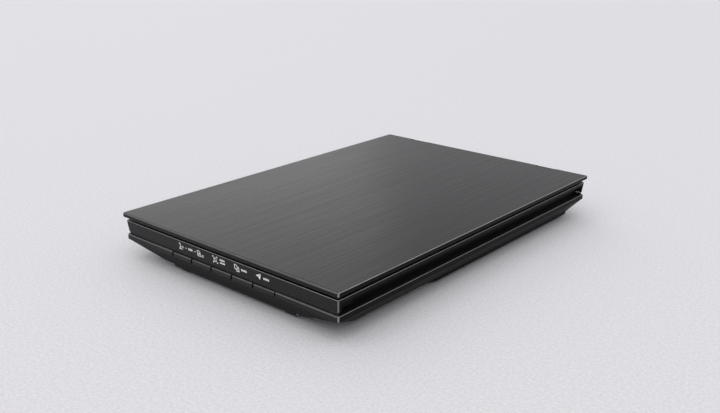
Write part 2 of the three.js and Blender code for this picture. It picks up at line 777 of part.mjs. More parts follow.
function makeCarriage() {
  const groove = sensorBottom + 3.4;
  piece("carriage_frame", carriageFrame(), "black");
  const housing = cut(
    block([-sensorX, home - sensorWidth / 2, sensorBottom], [sensorX, home + sensorWidth / 2, sensorTop]),
    block([1.5 - sensorX, home - 4.6, groove], [sensorX - 1.5, home + 4.8, sensorTop + 1]),
  );
  piece("cis_housing", housing, "black");
  const lens = block([2 - sensorX, home - 1, groove + gap], [sensorX - 2, home + 1, sensorTop - 0.5]);
  piece("cis_lens_array", lens, "lens");
  const guide = outline([
    [home + 2, groove + gap],
    [home + 4.4, groove + gap],
    [home + 4.4, groove + 3.6],
    [home + 3.4, groove + 4.8],
    [home + 2, groove + 3.6],
  ]);
  piece("cis_light_guide", prism("x", guide, 2 - sensorX, sensorX - 2), "lightGuide");
  const cover = block(
    [0.5 - sensorX, home - sensorWidth / 2 + 0.4, sensorTop + gap],
    [sensorX - 0.5, home + sensorWidth / 2 - 0.4, sensorTop + gap + 0.7],
  );
  piece("cis_cover_glass", cover, "glass");
  const board = block([-80, home - 6, sensorBottom - gap - 1.1], [80, home + 6, sensorBottom - gap]);
  piece("cis_sensor_board", board, "board");
  for (const [side, sign] of sides) {
    const x = [sign * (sensorX + gap), sign * (sensorX + gap + spacerThickness)].sort((a, b) => a - b);
    const spacer = block(
      [x[0], home - sensorWidth / 2, sensorTop - 7],
      [x[1], home + sensorWidth / 2, glassBottom - gap],
    );
    piece("glide_spacer_" + side, spacer, "nylon");
    const springX = sign * (sensorX - 14);
    const foot = trayFloor[1] + gap;
    const crown = sensorBottom - gap;
    const spring = outline([
      [springX - 8, foot],
      [springX - 6.8, foot],
      [springX, crown - 0.4],
      [springX + 6.8, foot],
      [springX + 8, foot],
      [springX + 8, foot + 0.4],
      [springX + 7, foot + 0.4],
      [springX + 0.6, crown],
      [springX - 0.6, crown],
      [springX - 7, foot + 0.4],
      [springX - 8, foot + 0.4],
    ]);
    piece("cis_spring_" + side, prism("y", spring, home - 3, home + 3), "steel");
  }
  const seat = trayFloor[1] + gap;
  const motor = join(
    bar("z", motorRadius, pinionAt, seat, seat + motorHeight, 28),
    block([pinionAt[0] - 14, pinionAt[1] - 3, seat], [pinionAt[0] + 14, pinionAt[1] + 3, seat + 1]),
  );
  piece("drive_motor", motor, "steel");
}

function makeLock() {
  const { x, y } = lock;
  const slider = join(
    block([x - 4, y - 3.6, bellyFloor + 0.4], [x + 4, y + 3.6, bellyFloor + 1.6]),
    block([x - 2, y - 2, bellyFloor + 1], [x + 2, y + 2, bellyInside + 2]),
    block([x - 6, y - 4, bellyInside + 1.5], [x + 6, y + 4, bellyInside + 2.7]),
    block([x - 2.5, y - 2.2, bellyInside + 2], [x + 2.5, y + 2.2, trayFloor[0] - 1]),
  );
  const ribs = [-2.4, 0, 2.4].map((offset) =>
    block([x + offset - 0.4, y - 4, 0], [x + offset + 0.4, y + 4, bellyFloor + 0.8]),
  );
  piece("carriage_lock_slider", cut(slider, ...ribs), "key");
}

// ---- Hinges and lid ----------------------------------------------------------------------------
function makeHinges() {
  for (const [side, sign] of sides) {
    const x = sign * hingeX;
    const low = x - hingeWidth / 2;
    const high = x + hingeWidth / 2;
    const webLow = housingTop + gap;
    const profile = outline([
      [postBack - postThickness, postFoot],
      [postBack, postFoot],
      [postBack, webLow],
      [pinY + 0.7, webLow],
      [pinY + 0.7, pinZ - 0.6],
      [pinY - 2.1, pinZ - 0.6],
      [pinY - 2.1, webLow + postWeb],
      [postBack - postThickness, webLow + postWeb],
    ]);
    const bore = bar("x", pinRadius + gap, [pinY, pinZ], x - 20, x + 20, 16);
    const post = join(
      prism("x", profile, low, high),
      bar("x", barrelRadius, [pinY, pinZ], low, high, 24),
    );
    piece(side + "_hinge_post", cut(post, bore), "black");
    const pinEnd = hingeWidth / 2 + gap + hingeEar;
    piece(side + "_hinge_pin", bar("x", pinRadius, [pinY, pinZ], x - pinEnd, x + pinEnd, 12), "steel");
    const slot = block(
      [low - gap, postBack - postThickness - gap, 0],
      [high + gap, postBack + gap, height],
    );
    const guide = block(
      [low - gap - guideWallSide, postBack - postThickness - gap - guideWall, postFoot - gap],
      [high + gap + guideWallSide, postBack + gap + guideWall, plateBottom - gap],
    );
    piece(side + "_hinge_guide", cut(guide, slot), "black");
    const bracket = join(
      block([x - pinEnd, pinY - 18.8, bracketLow], [x + pinEnd, pinY - 2.8, bracketHigh]),
      ...[-1, 1].flatMap((end) => {
        const ear = [x + end * (hingeWidth / 2 + gap), x + end * pinEnd].sort((a, b) => a - b);
        return [
          block([ear[0], pinY - 4, bracketLow], [ear[1], pinY, bracketHigh]),
          bar("x", barrelRadius, [pinY, pinZ], ear[0], ear[1], 24),
        ];
      }),
    );
    piece(side + "_lid_bracket", cut(bracket, bore), "black");
  }
}

function makeLid() {
  const rimBottom = height - lidRim;
  const shell = cut(
    loft([
      [insetRect(lidRound), rimBottom],
      [insetRect(0), rimBottom + lidRound],
      [insetRect(0), height - lidRound],
      [insetRect(lidRound), height],
    ]),
    prism("z", insetRect(lidEdge, lidCorner - 1), rimBottom - 1, height - lidSkin),
    ...hingeNotches(pinY - 3.1, hingeEar + 2 * gap),
  );
  piece("lid_outer_shell", shell, "lid");
  const plateLow = rimBottom - 0.4;
  const rimOuter = lidEdge + gap;
  const skirtOuter = rimOuter + 1.1;
  const panel = cut(
    join(
      prism("z", insetRect(rimOuter, 2), plateLow, height - lidSkin - gap),
      prism("z", insetRect(skirtOuter, 2), plateLow - panelSkirt, plateLow + 0.5),
    ),
    prism("z", insetRect(rimOuter + 1.5, 1.5), plateLow + panelPlate, height),
    prism("z", insetRect(skirtOuter + 2, 1.5), 0, plateLow),
    ...hingeNotches(pinY - 19.8, hingeEar + 1.5),
  );
  piece("lid_inner_panel", panel, "panel");
  const padX = windowX - padPlay;
  const padPlan = roundedRect(-padX, windowFront + padPlay, padX, windowRear - padPlay, 2);
  const sheetTop = glassTop + gap + sheetThickness;
  piece("document_pad_sheet", prism("z", padPlan, glassTop + gap, sheetTop, 3), "sheet");
  piece("document_pad_foam", prism("z", padPlan, sheetTop + gap, plateLow - gap, 3), "foam");
}

// Cuts through the lid's rear edge, from `front` backwards and `extra` past each hinge post.
function hingeNotches(front, extra) {
  return sides.map(([, sign]) => {
    const half = hingeWidth / 2 + gap + extra;
    return block([sign * hingeX - half, front, 0], [sign * hingeX + half, halfY + 1, height + 1]);
  });
}

makeHousing();
makeKeys();
makeElectronics();
makeDrive();
makeCarriage();
makeLock();
makeHinges();
makeLid();

export default scanner;
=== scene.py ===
import json
import math

import bmesh
import bpy
from mathutils import Matrix, Vector

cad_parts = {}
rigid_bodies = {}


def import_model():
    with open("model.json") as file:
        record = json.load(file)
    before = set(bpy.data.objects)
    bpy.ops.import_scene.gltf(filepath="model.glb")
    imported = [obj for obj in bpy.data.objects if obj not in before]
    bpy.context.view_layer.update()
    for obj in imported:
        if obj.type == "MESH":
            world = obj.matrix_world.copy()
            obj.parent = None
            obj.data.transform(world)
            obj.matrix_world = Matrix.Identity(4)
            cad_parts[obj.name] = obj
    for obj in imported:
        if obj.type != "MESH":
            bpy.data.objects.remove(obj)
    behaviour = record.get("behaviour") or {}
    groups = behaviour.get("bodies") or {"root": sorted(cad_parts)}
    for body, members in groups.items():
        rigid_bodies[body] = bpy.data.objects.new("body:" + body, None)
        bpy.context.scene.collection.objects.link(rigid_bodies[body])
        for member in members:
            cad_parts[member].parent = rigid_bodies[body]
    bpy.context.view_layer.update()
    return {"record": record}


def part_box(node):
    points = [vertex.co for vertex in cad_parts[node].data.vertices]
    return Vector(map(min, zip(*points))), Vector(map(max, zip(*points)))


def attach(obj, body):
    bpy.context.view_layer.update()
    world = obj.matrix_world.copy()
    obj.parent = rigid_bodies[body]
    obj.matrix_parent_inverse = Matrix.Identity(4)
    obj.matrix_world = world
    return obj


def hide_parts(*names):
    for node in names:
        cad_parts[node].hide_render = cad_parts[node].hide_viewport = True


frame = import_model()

# A slim flatbed scanner. Shapes are written in millimetres and scaled to metres as each piece is made.
MM = 0.001


def box_mm(node):
    """Lowest and highest corner of a CAD node at rest, in millimetres."""
    low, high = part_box(node)
    return low / MM, high / MM


def middle_of(node):
    low, high = box_mm(node)
    return (low + high) / 2


# ---- Sizes, worked out from the frame ----------------------------------------------------------
LID_LOW, LID_HIGH = box_mm("lid_outer_shell")
UPPER_HIGH = box_mm("upper_housing")[1]
LOWER_LOW, LOWER_HIGH = box_mm("lower_housing")
GLASS_LOW, GLASS_HIGH = box_mm("platen_glass")
STRIP_LOW, STRIP_HIGH = box_mm("white_calibration_strip")
FOAM_LOW, FOAM_HIGH = box_mm("document_pad_foam")
SHEET_LOW, SHEET_HIGH = box_mm("document_pad_sheet")
KEY_NAMES = ["pdf_start", "pdf_finish", "auto_scan", "copy", "send"]
KEY_BOXES = [box_mm(name + "_button") for name in KEY_NAMES]

HALF_X = LID_HIGH.x
HALF_Y = LID_HIGH.y
LID_CORNER = 2.2
LID_SKIN = 1.6
LID_RIM = 1.8
ROLL_FRONT = 1.9  # rounding of the lid's front and rear edges
ROLL_SIDE = 0.7  # rounding of its long sides
WALL = 2.0

SKIRT_TAPER = 0.95  # the upper housing's wall leans in by this much at its foot
FLANGE_TOP = UPPER_HIGH.z
PLATE_UNDER = FLANGE_TOP - 3.1
SKIRT_FOOT = 24.9
UPPER_WALL_X = UPPER_HIGH.x - SKIRT_TAPER
UPPER_WALL_Y = UPPER_HIGH.y - SKIRT_TAPER
GRIP_X = UPPER_WALL_X - 5.6
GRIP_END = HALF_Y - 5.5
GRIP_STEP = (1.6, 17.0)  # depth and length of the shallow front end of the finger recess
WINDOW_X = HALF_X - 15
WINDOW_FRONT = 22.5 - HALF_Y
WINDOW_REAR = STRIP_LOW.y - 2.8
BEZEL_LIP = 1.2

LIP_TOP = 22.7
LIP_BOTTOM = 18.0
LIP_X = LOWER_HIGH.x
LIP_Y = LOWER_HIGH.y
SKIRT_FLOOR = 7.0
BELLY_FLOOR = LOWER_LOW.z
LEDGE = 2.0
UPSTAND_TOP = SKIRT_FOOT - 0.3
SEAM_INSET = 0.9
SEAM_WALL = 1.6
KEY_FACE = KEY_BOXES[0][0].y
KEY_SEAT = KEY_FACE + 4.4
KEY_SLOT_PLAY = 0.6
BAY_X = KEY_BOXES[-1][1].x + KEY_SLOT_PLAY + 0.5

CORNERS = ("front_left", "front_right", "rear_left", "rear_right")
SCREWS = {corner: middle_of("housing_screw_" + corner) for corner in CORNERS}


# ---- Outlines ----------------------------------------------------------------------------------
CORNER_POINTS = 10  # for each corner of a rectangle; a multiple of two


def rounded(polygon, radius, points_each):
    """A polygon with each corner rounded by an arc of points_each points."""
    made = []
    count = len(polygon)
    for i, here in enumerate(polygon):
        here = Vector(here)
        back = (Vector(polygon[i - 1]) - here).normalized()
        on = (Vector(polygon[(i + 1) % count]) - here).normalized()
        turn = math.pi - back.angle(on)
        reach = radius * math.tan(turn / 2)
        start = here + back * reach
        middle = here + (back + on).normalized() * radius / math.cos(turn / 2)
        arm = start - middle
        for k in range(points_each):
            angle = turn * k / (points_each - 1)
            made.append(middle + Matrix.Rotation(angle, 2) @ arm)
    return made


def rectangle(x, front, rear, radius, points_each=CORNER_POINTS):
    """A rounded rectangle from -x to x, anticlockwise from its right front corner."""
    return rounded([(x, front), (x, rear), (-x, rear), (-x, front)], max(radius, 0.02), points_each)


def at_height(outline, z, middle=Vector((0, 0, 0))):
    """The outline about a middle, as a ring of points at one height."""
    return [Vector((p.x + middle.x, p.y + middle.y, z)) for p in outline]


def rolled_edge(x, y, corner, top, front_roll, side_roll, steps, low_side=False):
    """Rings over the rounded edge of a plate: wide towards front and rear, tight at the sides."""
    outline = rectangle(x, -y, y, corner)
    rings = []
    for step in range(steps + 1):
        angle = math.pi / 2 * step / steps
        ring = []
        for i, p in enumerate(outline):
            before = outline[i - 1]
            after = outline[(i + 1) % len(outline)]
            along = (after - before).normalized()
            inward = Vector((-along.y, along.x))
            lean = abs(inward.y) ** 2
            roll = side_roll + (front_roll - side_roll) * lean
            shifted = p + inward * roll * (1 - math.cos(angle))
            drop = roll * (1 - math.sin(angle))
            ring.append(Vector((shifted.x, shifted.y, top + drop if low_side else top - drop)))
        rings.append(ring)
    return rings[::-1] if low_side else rings


# ---- Mesh building -----------------------------------------------------------------------------
def loft(rings, closed=False):
    """A skin over rings with equally many points; closed joins the last ring to the first."""
    bm = bmesh.new()
    rows = [[bm.verts.new(p) for p in ring] for ring in rings]
    pairs = list(zip(rows, rows[1:]))
    if closed:
        pairs.append((rows[-1], rows[0]))
    else:
        bm.faces.new(rows[0][::-1])
        bm.faces.new(rows[-1])
    for low, high in pairs:
        for i in range(len(low)):
            k = (i + 1) % len(low)
            bm.faces.new((low[i], low[k], high[k], high[i]))
    bmesh.ops.recalc_face_normals(bm, faces=bm.faces)
    return bm


def corners_of(low, high, inset=0):
    """The four corners of a box seen from above, moved inwards."""
    x0, y0 = low[0] + inset, low[1] + inset
    x1, y1 = high[0] - inset, high[1] - inset
    return [Vector((x0, y0)), Vector((x1, y0)), Vector((x1, y1)), Vector((x0, y1))]


def block(low, high):
    plan = corners_of(low, high)
    return loft([at_height(plan, low[2]), at_height(plan, high[2])])


def chamfered(low, high, edge):
    """A block whose upper edges are bevelled, like a moulded chip."""
    plan = corners_of(low, high)
    rim = corners_of(low, high, edge)
    return loft([at_height(plan, low[2]), at_height(plan, high[2] - edge), at_height(rim, high[2])])


def turned(profile, at, axis="z", segments=40):
    """A solid of revolution: profile is (radius, height) from one end of the axis to the other."""
    turn = Matrix.Rotation(-math.pi / 2, 3, "X") if axis == "y" else Matrix.Identity(3)
    rings = []
    for radius, height in profile:
        ring = []
        for i in range(segments):
            angle = 2 * math.pi * i / segments
            local = Vector((radius * math.cos(angle), radius * math.sin(angle), height))
            ring.append(turn @ local + Vector(at))
        rings.append(ring)
    return loft(rings)


def upright(radius, low, high, place, segments):
    """A plain upright cylinder about a place of the plan."""
    return turned([(radius, low), (radius, high)], (place.x, place.y, 0), segments=segments)


def rod(radius, low, high, at, axis="z", chamfer=0.2, segments=40):
    """A cylinder with chamfered ends."""
    neck = radius - chamfer
    profile = [(neck, low), (radius, low + chamfer), (radius, high - chamfer), (neck, high)]
    return turned(profile, at, axis, segments)


def joined(parts):
    """Several closed meshes as one mesh of separate shells."""
    made = bmesh.new()
    for part in parts:
        mesh = bpy.data.meshes.new("part")
        part.to_mesh(mesh)
        part.free()
        made.from_mesh(mesh)
        bpy.data.meshes.remove(mesh)
    return made


def as_object(bm, name="work"):
    """The mesh as an object in the scene."""
    mesh = bpy.data.meshes.new(name)
    bm.to_mesh(mesh)
    bm.free()
    made = bpy.data.objects.new(name, mesh)
    bpy.context.scene.collection.objects.link(made)
    return made


def carve(bm, steps):
    """Booleans in turn: steps is a list of (cut, add or keep, mesh)."""
    bmesh.ops.triangulate(bm, faces=bm.faces)
    target = as_object(bm)
    for kind, tool in steps:
        bmesh.ops.triangulate(tool, faces=tool.faces)
        helper = as_object(tool, "tool")
        change = target.modifiers.new("change", "BOOLEAN")
        change.operation = {"cut": "DIFFERENCE", "add": "UNION", "keep": "INTERSECT"}[kind]
        change.solver = "EXACT"
        change.object = helper
        graph = bpy.context.evaluated_depsgraph_get()
        mesh = bpy.data.meshes.new_from_object(target.evaluated_get(graph))
        target.modifiers.clear()
        target.data = mesh
        bpy.data.objects.remove(helper)
    made = bmesh.new()
    made.from_mesh(target.data)
    bpy.data.objects.remove(target)
    return made


def soften(bm, width, shortest):
    """Rounds the sharp edges that are longer than shortest."""
    bmesh.ops.dissolve_limit(bm, angle_limit=math.radians(0.5), verts=bm.verts, edges=bm.edges)
    bm.edges.ensure_lookup_table()
    sharp = [
        e
        for e in bm.edges
        if len(e.link_faces) == 2
        and e.calc_face_angle(0) > math.radians(50)
        and e.calc_length() > shortest
    ]
    bmesh.ops.bevel(
        bm, geom=sharp, offset=width, segments=2, profile=0.5, affect="EDGES", clamp_overlap=True
    )
    return bm


def piece(name, bm, body, slot, stands_for=(), smooth=38, material=None):
    """The finished mesh as a piece of the object."""
    bmesh.ops.scale(bm, vec=(MM, MM, MM), verts=bm.verts)
    made = as_object(bm, name)
    for face in made.data.polygons:
        face.use_smooth = True
    made.data.set_sharp_from_angle(angle=math.radians(smooth))
    even = made.modifiers.new("even_shading", "WEIGHTED_NORMAL")
    even.keep_sharp = True
    even.weight = 100
    made.data.materials.append(material or MATERIALS[slot])
    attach(made, body)
    if stands_for:
        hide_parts(*stands_for)
    return made


# ---- Materials ---------------------------------------------------------------------------------
def srgb(text):
    """A colour written as six hex digits, as linear values."""
    channels = [int(text[i : i + 2], 16) / 255 for i in (0, 2, 4)]
    linear = [c / 12.92 if c <= 0.04045 else ((c + 0.055) / 1.055) ** 2.4 for c in channels]
    return (*linear, 1.0)


class Finish:
    """A Principled material whose colour, roughness and bump come from procedural noise."""

    def __init__(self, name):
        self.material = bpy.data.materials.new(name)
        self.material.use_nodes = True
        self.tree = self.material.node_tree
        self.shader = self.tree.nodes["Principled BSDF"]
        self.place = self.node("ShaderNodeTexCoord").outputs["Object"]

    def node(self, kind, **settings):
        made = self.tree.nodes.new(kind)
        for key, value in settings.items():
            setattr(made, key, value)
        return made

    def feed(self, socket, value):
        """Gives a socket a number, a colour or another socket's value."""
        if isinstance(value, bpy.types.NodeSocket):
            self.tree.links.new(value, socket)
        else:
            socket.default_value = value

    def noise(self, size_mm, detail=2.0, distortion=0.0, roughness=0.5):
        """Noise whose cells are about size_mm wide along each axis."""
        sizes = size_mm if isinstance(size_mm, tuple) else (size_mm,) * 3
        stretch = self.node("ShaderNodeMapping")
        stretch.inputs["Scale"].default_value = [1 / (s * MM) for s in sizes]
        self.feed(stretch.inputs["Vector"], self.place)
        made = self.node("ShaderNodeTexNoise")
        made.inputs["Scale"].default_value = 1.0
        made.inputs["Detail"].default_value = detail
        made.inputs["Distortion"].default_value = distortion
        made.inputs["Roughness"].default_value = roughness
        self.feed(made.inputs["Vector"], stretch.outputs["Vector"])
        return made.outputs["Fac"]

    def stripes(self, pitch_mm):
        """Even stripes side by side along x."""
        made = self.node("ShaderNodeTexWave", wave_type="BANDS", bands_direction="X")
        made.inputs["Scale"].default_value = math.pi / 10 / (pitch_mm * MM)
        self.feed(made.inputs["Vector"], self.place)
        return made.outputs["Fac"]

    def spread(self, value, low, high, start=0.3, end=0.7):
        """value from start..end mapped to low..high."""
        made = self.node("ShaderNodeMapRange")
        for name, number in (("From Min", start), ("From Max", end), ("To Min", low), ("To Max", high)):
            made.inputs[name].default_value = number
        self.feed(made.inputs["Value"], value)
        return made.outputs["Result"]

    def maths(self, operation, a, b):
        made = self.node("ShaderNodeMath", operation=operation)
        self.feed(made.inputs[0], a)
        self.feed(made.inputs[1], b)
        return made.outputs["Value"]

    def times(self, a, b):
        return self.maths("MULTIPLY", a, b)

    def size(self, value):
        """A value without its sign."""
        return self.maths("ABSOLUTE", value, 0)

    def mix(self, amount, first, second):
        """A colour between two; sockets 6 and 7 of the node are its colours."""
        made = self.node("ShaderNodeMix", data_type="RGBA")
        self.feed(made.inputs["Factor"], amount)
        self.feed(made.inputs[6], first)
        self.feed(made.inputs[7], second)
        return made.outputs[2]

    def edges(self, radius_mm):
        """1 on sharp edges and 0 on flat faces."""
        rounded_normal = self.node("ShaderNodeBevel", samples=4)
        rounded_normal.inputs["Radius"].default_value = radius_mm * MM
        true_normal = self.node("ShaderNodeNewGeometry").outputs["Normal"]
        product = self.node("ShaderNodeVectorMath", operation="DOT_PRODUCT")
        self.feed(product.inputs[0], rounded_normal.outputs["Normal"])
        self.feed(product.inputs[1], true_normal)
        return self.spread(product.outputs["Value"], 1.0, 0.0, 0.8, 0.995)

    def axes(self, kind):
        """X, Y and Z of the surface's own direction (Normal) or place (Object)."""
        parts = self.node("ShaderNodeSeparateXYZ")
        self.feed(parts.inputs["Vector"], self.node("ShaderNodeTexCoord").outputs[kind])
        return parts.outputs

    def rolled(self, side, front, corner):
        """How brightly a painted highlight shows on the rounded edges: the long sides, the short sides, and
        the upright corners.
        """
        x, y, z = self.axes("Normal")
        across = self.size(x)
        along = self.size(y)
        leaning = self.times(self.spread(z, 0, 1, 0.3, 0.55), self.spread(z, 1, 0, 0.86, 0.97))
        on_side = self.times(self.spread(across, 0, side, 0.15, 0.4), leaning)
        on_front = self.times(self.spread(along, 0, front, 0.15, 0.4), leaning)
        on_corner = self.spread(self.times(across, along), 0, corner, 0.36, 0.47)
        return self.maths("MAXIMUM", self.maths("MAXIMUM", on_side, on_front), on_corner)

    def upper_rim(self):
        """1 near the top edge of the upper housing, outside the glass, where a brighter painted highlight
        goes.
        """
        x, y, z = self.axes("Object")
        height = self.spread(z, 0, 1, 0.028, 0.03)
        ends = self.spread(self.size(y), 0, 1, 0.174, 0.176)
        sides = self.spread(self.size(x), 0, 1, 0.116, 0.118)
        return self.times(height, self.maths("MAXIMUM", ends, sides))

    def downward(self):
        """1 on faces that look down."""
        return self.spread(self.axes("Normal")["Z"], 1, 0, -0.4, -0.05)

    def painted_shade_faces(self):
        """1 on faces that look left, right or down, which get a painted shade in their colour and a weaker
        sheen.
        """
        aside = self.spread(self.size(self.axes("Normal")["X"]), 0, 1, 0.25, 0.65)
        return self.maths("MAXIMUM", aside, self.downward())

    def bump(self, height, strength, distance_mm):
        made = self.node("ShaderNodeBump")
        made.inputs["Strength"].default_value = strength
        made.inputs["Distance"].default_value = distance_mm * MM
        self.feed(made.inputs["Height"], height)
        return made.outputs["Normal"]

    def set(self, colour, roughness, normal, **plain):
        """The finished material; plain holds the shader's other values by name."""
        for name, value in (("Base Color", colour), ("Roughness", roughness), ("Normal", normal)):
            self.feed(self.shader.inputs[name], value)
        for name, value in plain.items():
            self.feed(self.shader.inputs[name.replace("_", " ")], value)
        return self.material


def moulded(name, dark, light, roughness, grain_mm=0.35, edge_highlight=None, shine=None):
    """Moulded plastic with a spark-eroded grain and slow colour variation.

    The colour given for the edges is a painted highlight on the sharp edges, and shine is how brightly a
    painted highlight shows on the rounded edges; faces that look aside or down get a painted shade.
    """
    f = Finish(name)
    slow = f.noise(28, detail=3)
    grain = f.noise(grain_mm, detail=2)
    colour = f.mix(f.spread(slow, 0, 1), srgb(dark), srgb(light))
    rough = f.spread(grain, roughness - 0.06, roughness + 0.07)
    # Painted highlight: a paler colour on the sharp edges, with a little less roughness there.
    if edge_highlight:
        edge_highlight_mask = f.times(f.edges(0.35), f.spread(f.noise(5, detail=4), 0.55, 1.0))
        colour = f.mix(edge_highlight_mask, colour, srgb(edge_highlight))
        rough = f.maths("SUBTRACT", rough, f.times(edge_highlight_mask, 0.18))
    normal = f.bump(grain, 0.35, 0.02)
    if shine is None:
        return f.set(colour, rough, normal)
    # Painted shade: faces that look aside or down are darkened towards near black.
    colour = f.mix(f.times(f.painted_shade_faces(), 0.9), colour, srgb("070707"))
    # Painted highlight: the rounded edges are mixed towards pale grey, but not where they look down.
    painted_shine = f.times(f.rolled(*shine), f.spread(f.noise(9, detail=3), 0.75, 1.0))
    painted_shine = f.times(painted_shine, f.maths("SUBTRACT", 1, f.downward()))
    # A brighter painted highlight along the upper housing's top edge.
    rim = f.times(f.upper_rim(), f.rolled(1.3, 1.0, 0.0))
    painted_shine = f.maths("MAXIMUM", painted_shine, rim)
    colour = f.mix(painted_shine, colour, srgb("a9aaab"))
    gloss = f.spread(f.painted_shade_faces(), 0.33, 0.1, 0, 1)
    return f.set(colour, rough, normal, Specular_IOR_Level=gloss)


def hairline_lid():
    """Charcoal plastic printed with long streaks from front to rear, in a satin coat, with painted shade on
    faces that look aside or down and a painted highlight on its rounded edges.
    """
    f = Finish("lid_charcoal")
    fine = f.noise((0.5, 60, 3), detail=3, roughness=0.6)
    broad = f.noise((2.2, 150, 8), detail=4, roughness=0.65, distortion=0.3)
    slow = f.noise((24, 260, 30), detail=2)
    streak = f.maths("ADD", f.times(fine, 0.4), f.times(broad, 0.6))
    band = f.spread(streak, 0, 1, 0.38, 0.62)
    colour = f.mix(band, srgb("111213"), srgb("1e1f20"))
    colour = f.mix(f.spread(slow, 0, 0.4), colour, srgb("141516"))
    # Painted shade on the lid's faces that look aside or down.
    colour = f.mix(f.times(f.painted_shade_faces(), 0.8), colour, srgb("080808"))
    # Painted highlight on the lid's rounded edges.
    shine = f.times(f.rolled(0.9, 0.28, 0.7), f.spread(f.noise(9, detail=3), 0.75, 1.0))
    colour = f.mix(shine, colour, srgb("b4b5b6"))
    gloss = f.spread(f.painted_shade_faces(), 0.15, 0.055, 0, 1)
    rough = f.spread(streak, 0.31, 0.215, 0.38, 0.62)
    return f.set(colour, rough, f.bump(streak, 0.2, 0.03), Specular_IOR_Level=gloss)


def foam():
    f = Finish("pad_foam")
    cells = f.node("ShaderNodeTexVoronoi")
    cells.inputs["Scale"].default_value = 1 / (0.7 * MM)
    f.feed(cells.inputs["Vector"], f.place)
    distance = cells.outputs["Distance"]
    colour = f.mix(f.spread(distance, 0, 1, 0.1, 0.7), srgb("b9b9b6"), srgb("dcdcd9"))
    return f.set(colour, 0.95, f.bump(distance, 0.6, 0.25), Sheen_Weight=0.25, Sheen_Roughness=0.6)


def paper_white(name, low, high, roughness, relief):
    f = Finish(name)
    fibre = f.noise((0.5, 0.5, 0.5), detail=5)
    colour = f.mix(f.spread(f.noise(40, detail=3), 0, 1), srgb(low), srgb(high))
    return f.set(colour, f.spread(fibre, roughness - 0.06, roughness + 0.06), f.bump(fibre, 0.25, relief))


def clear_glass():
    """Float glass with faint wipe marks in its tint and in its waviness."""
    f = Finish("platen_glass")
    smear = f.noise((60, 22, 60), detail=2)
    colour = f.mix(f.spread(smear, 0, 1, 0.45, 0.75), srgb("f6faf8"), srgb("eef3f0"))
    return f.set(colour, 0.0, f.bump(smear, 0.03, 0.03), Transmission_Weight=1.0, IOR=1.52)


def metal(name, dark, light, roughness, brushed=(0.3, 6, 0.3)):
    f = Finish(name)
    lines = f.noise(brushed, detail=3)
    colour = f.mix(f.spread(f.noise(7, detail=4), 0, 1), srgb(dark), srgb(light))
    rough = f.spread(lines, roughness - 0.08, roughness + 0.1)
    return f.set(colour, rough, f.bump(lines, 0.2, 0.01), Metallic=1.0)


def rubber_black():
    f = Finish("rubber")
    dust = f.noise(1.4, detail=5)
    colour = f.mix(f.spread(dust, 0, 1, 0.45, 0.8), srgb("0b0b0b"), srgb("1e1d1c"))
    rough = f.spread(dust, 0.75, 0.95)
    return f.set(colour, rough, f.bump(f.noise(0.3), 0.5, 0.05), Specular_IOR_Level=0.3)


def board_green():
    """Solder mask over copper tracks."""
    f = Finish("circuit_board")
    tracks = f.node("ShaderNodeTexBrick", offset=0.37, squash=0.6, squash_frequency=3)
    tracks.inputs["Scale"].default_value = 1 / (2.6 * MM)
    tracks.inputs["Mortar Size"].default_value = 0.09
    tracks.inputs["Color1"].default_value = (0, 0, 0, 1)
    tracks.inputs["Color2"].default_value = (0.25, 0.25, 0.25, 1)
    tracks.inputs["Mortar"].default_value = (1, 1, 1, 1)
    f.feed(tracks.inputs["Vector"], f.place)
    line = f.spread(tracks.outputs["Color"], 0, 1, 0.2, 0.9)
    colour = f.mix(line, srgb("14492b"), srgb("2f7a47"))
    colour = f.mix(f.spread(f.noise(9, detail=3), 0, 0.4), colour, srgb("0f3a24"))
    return f.set(colour, f.spread(line, 0.32, 0.42, 0, 1), f.bump(line, 0.4, 0.04), Coat_Weight=0.4)


def ribbon():
    """White flat cable with its conductors showing through."""
    f = Finish("ribbon")
    line = f.spread(f.stripes(1.0), 0, 1, 0.35, 0.65)
    colour = f.mix(line, srgb("e9e8e4"), srgb("b3aea2"))
    return f.set(colour, f.spread(f.noise(3), 0.35, 0.5), f.bump(line, 0.4, 0.05))


def nylon_white():
    f = Finish("nylon")
    colour = f.mix(f.spread(f.noise(6, detail=3), 0, 1), srgb("d8d3c2"), srgb("ece8da"))
    return f.set(
        colour,
        f.spread(f.noise(0.4), 0.38, 0.52),
        f.bump(f.noise(0.25), 0.15, 0.02),
        Subsurface_Weight=0.15,
        Subsurface_Radius=(0.002, 0.0018, 0.0015),
    )


def clear_acrylic():
    f = Finish("light_guide")
    frost = f.noise(1.2, detail=3)
    rough = f.spread(frost, 0.06, 0.2)
    return f.set(srgb("e6f1f4"), rough, f.bump(frost, 0.1, 0.02), Transmission_Weight=0.85)


def rod_lens():
    """A row of tiny dark lenses side by side."""
    f = Finish("lens_glass")
    smear = f.noise(4, detail=3)
    row = f.spread(f.stripes(0.6), 0, 1, 0.1, 0.6)
    colour = f.mix(row, srgb("0d0f12"), srgb("4c5a6c"))
    return f.set(colour, f.spread(smear, 0.05, 0.14), f.bump(row, 0.5, 0.06), Coat_Weight=0.8)


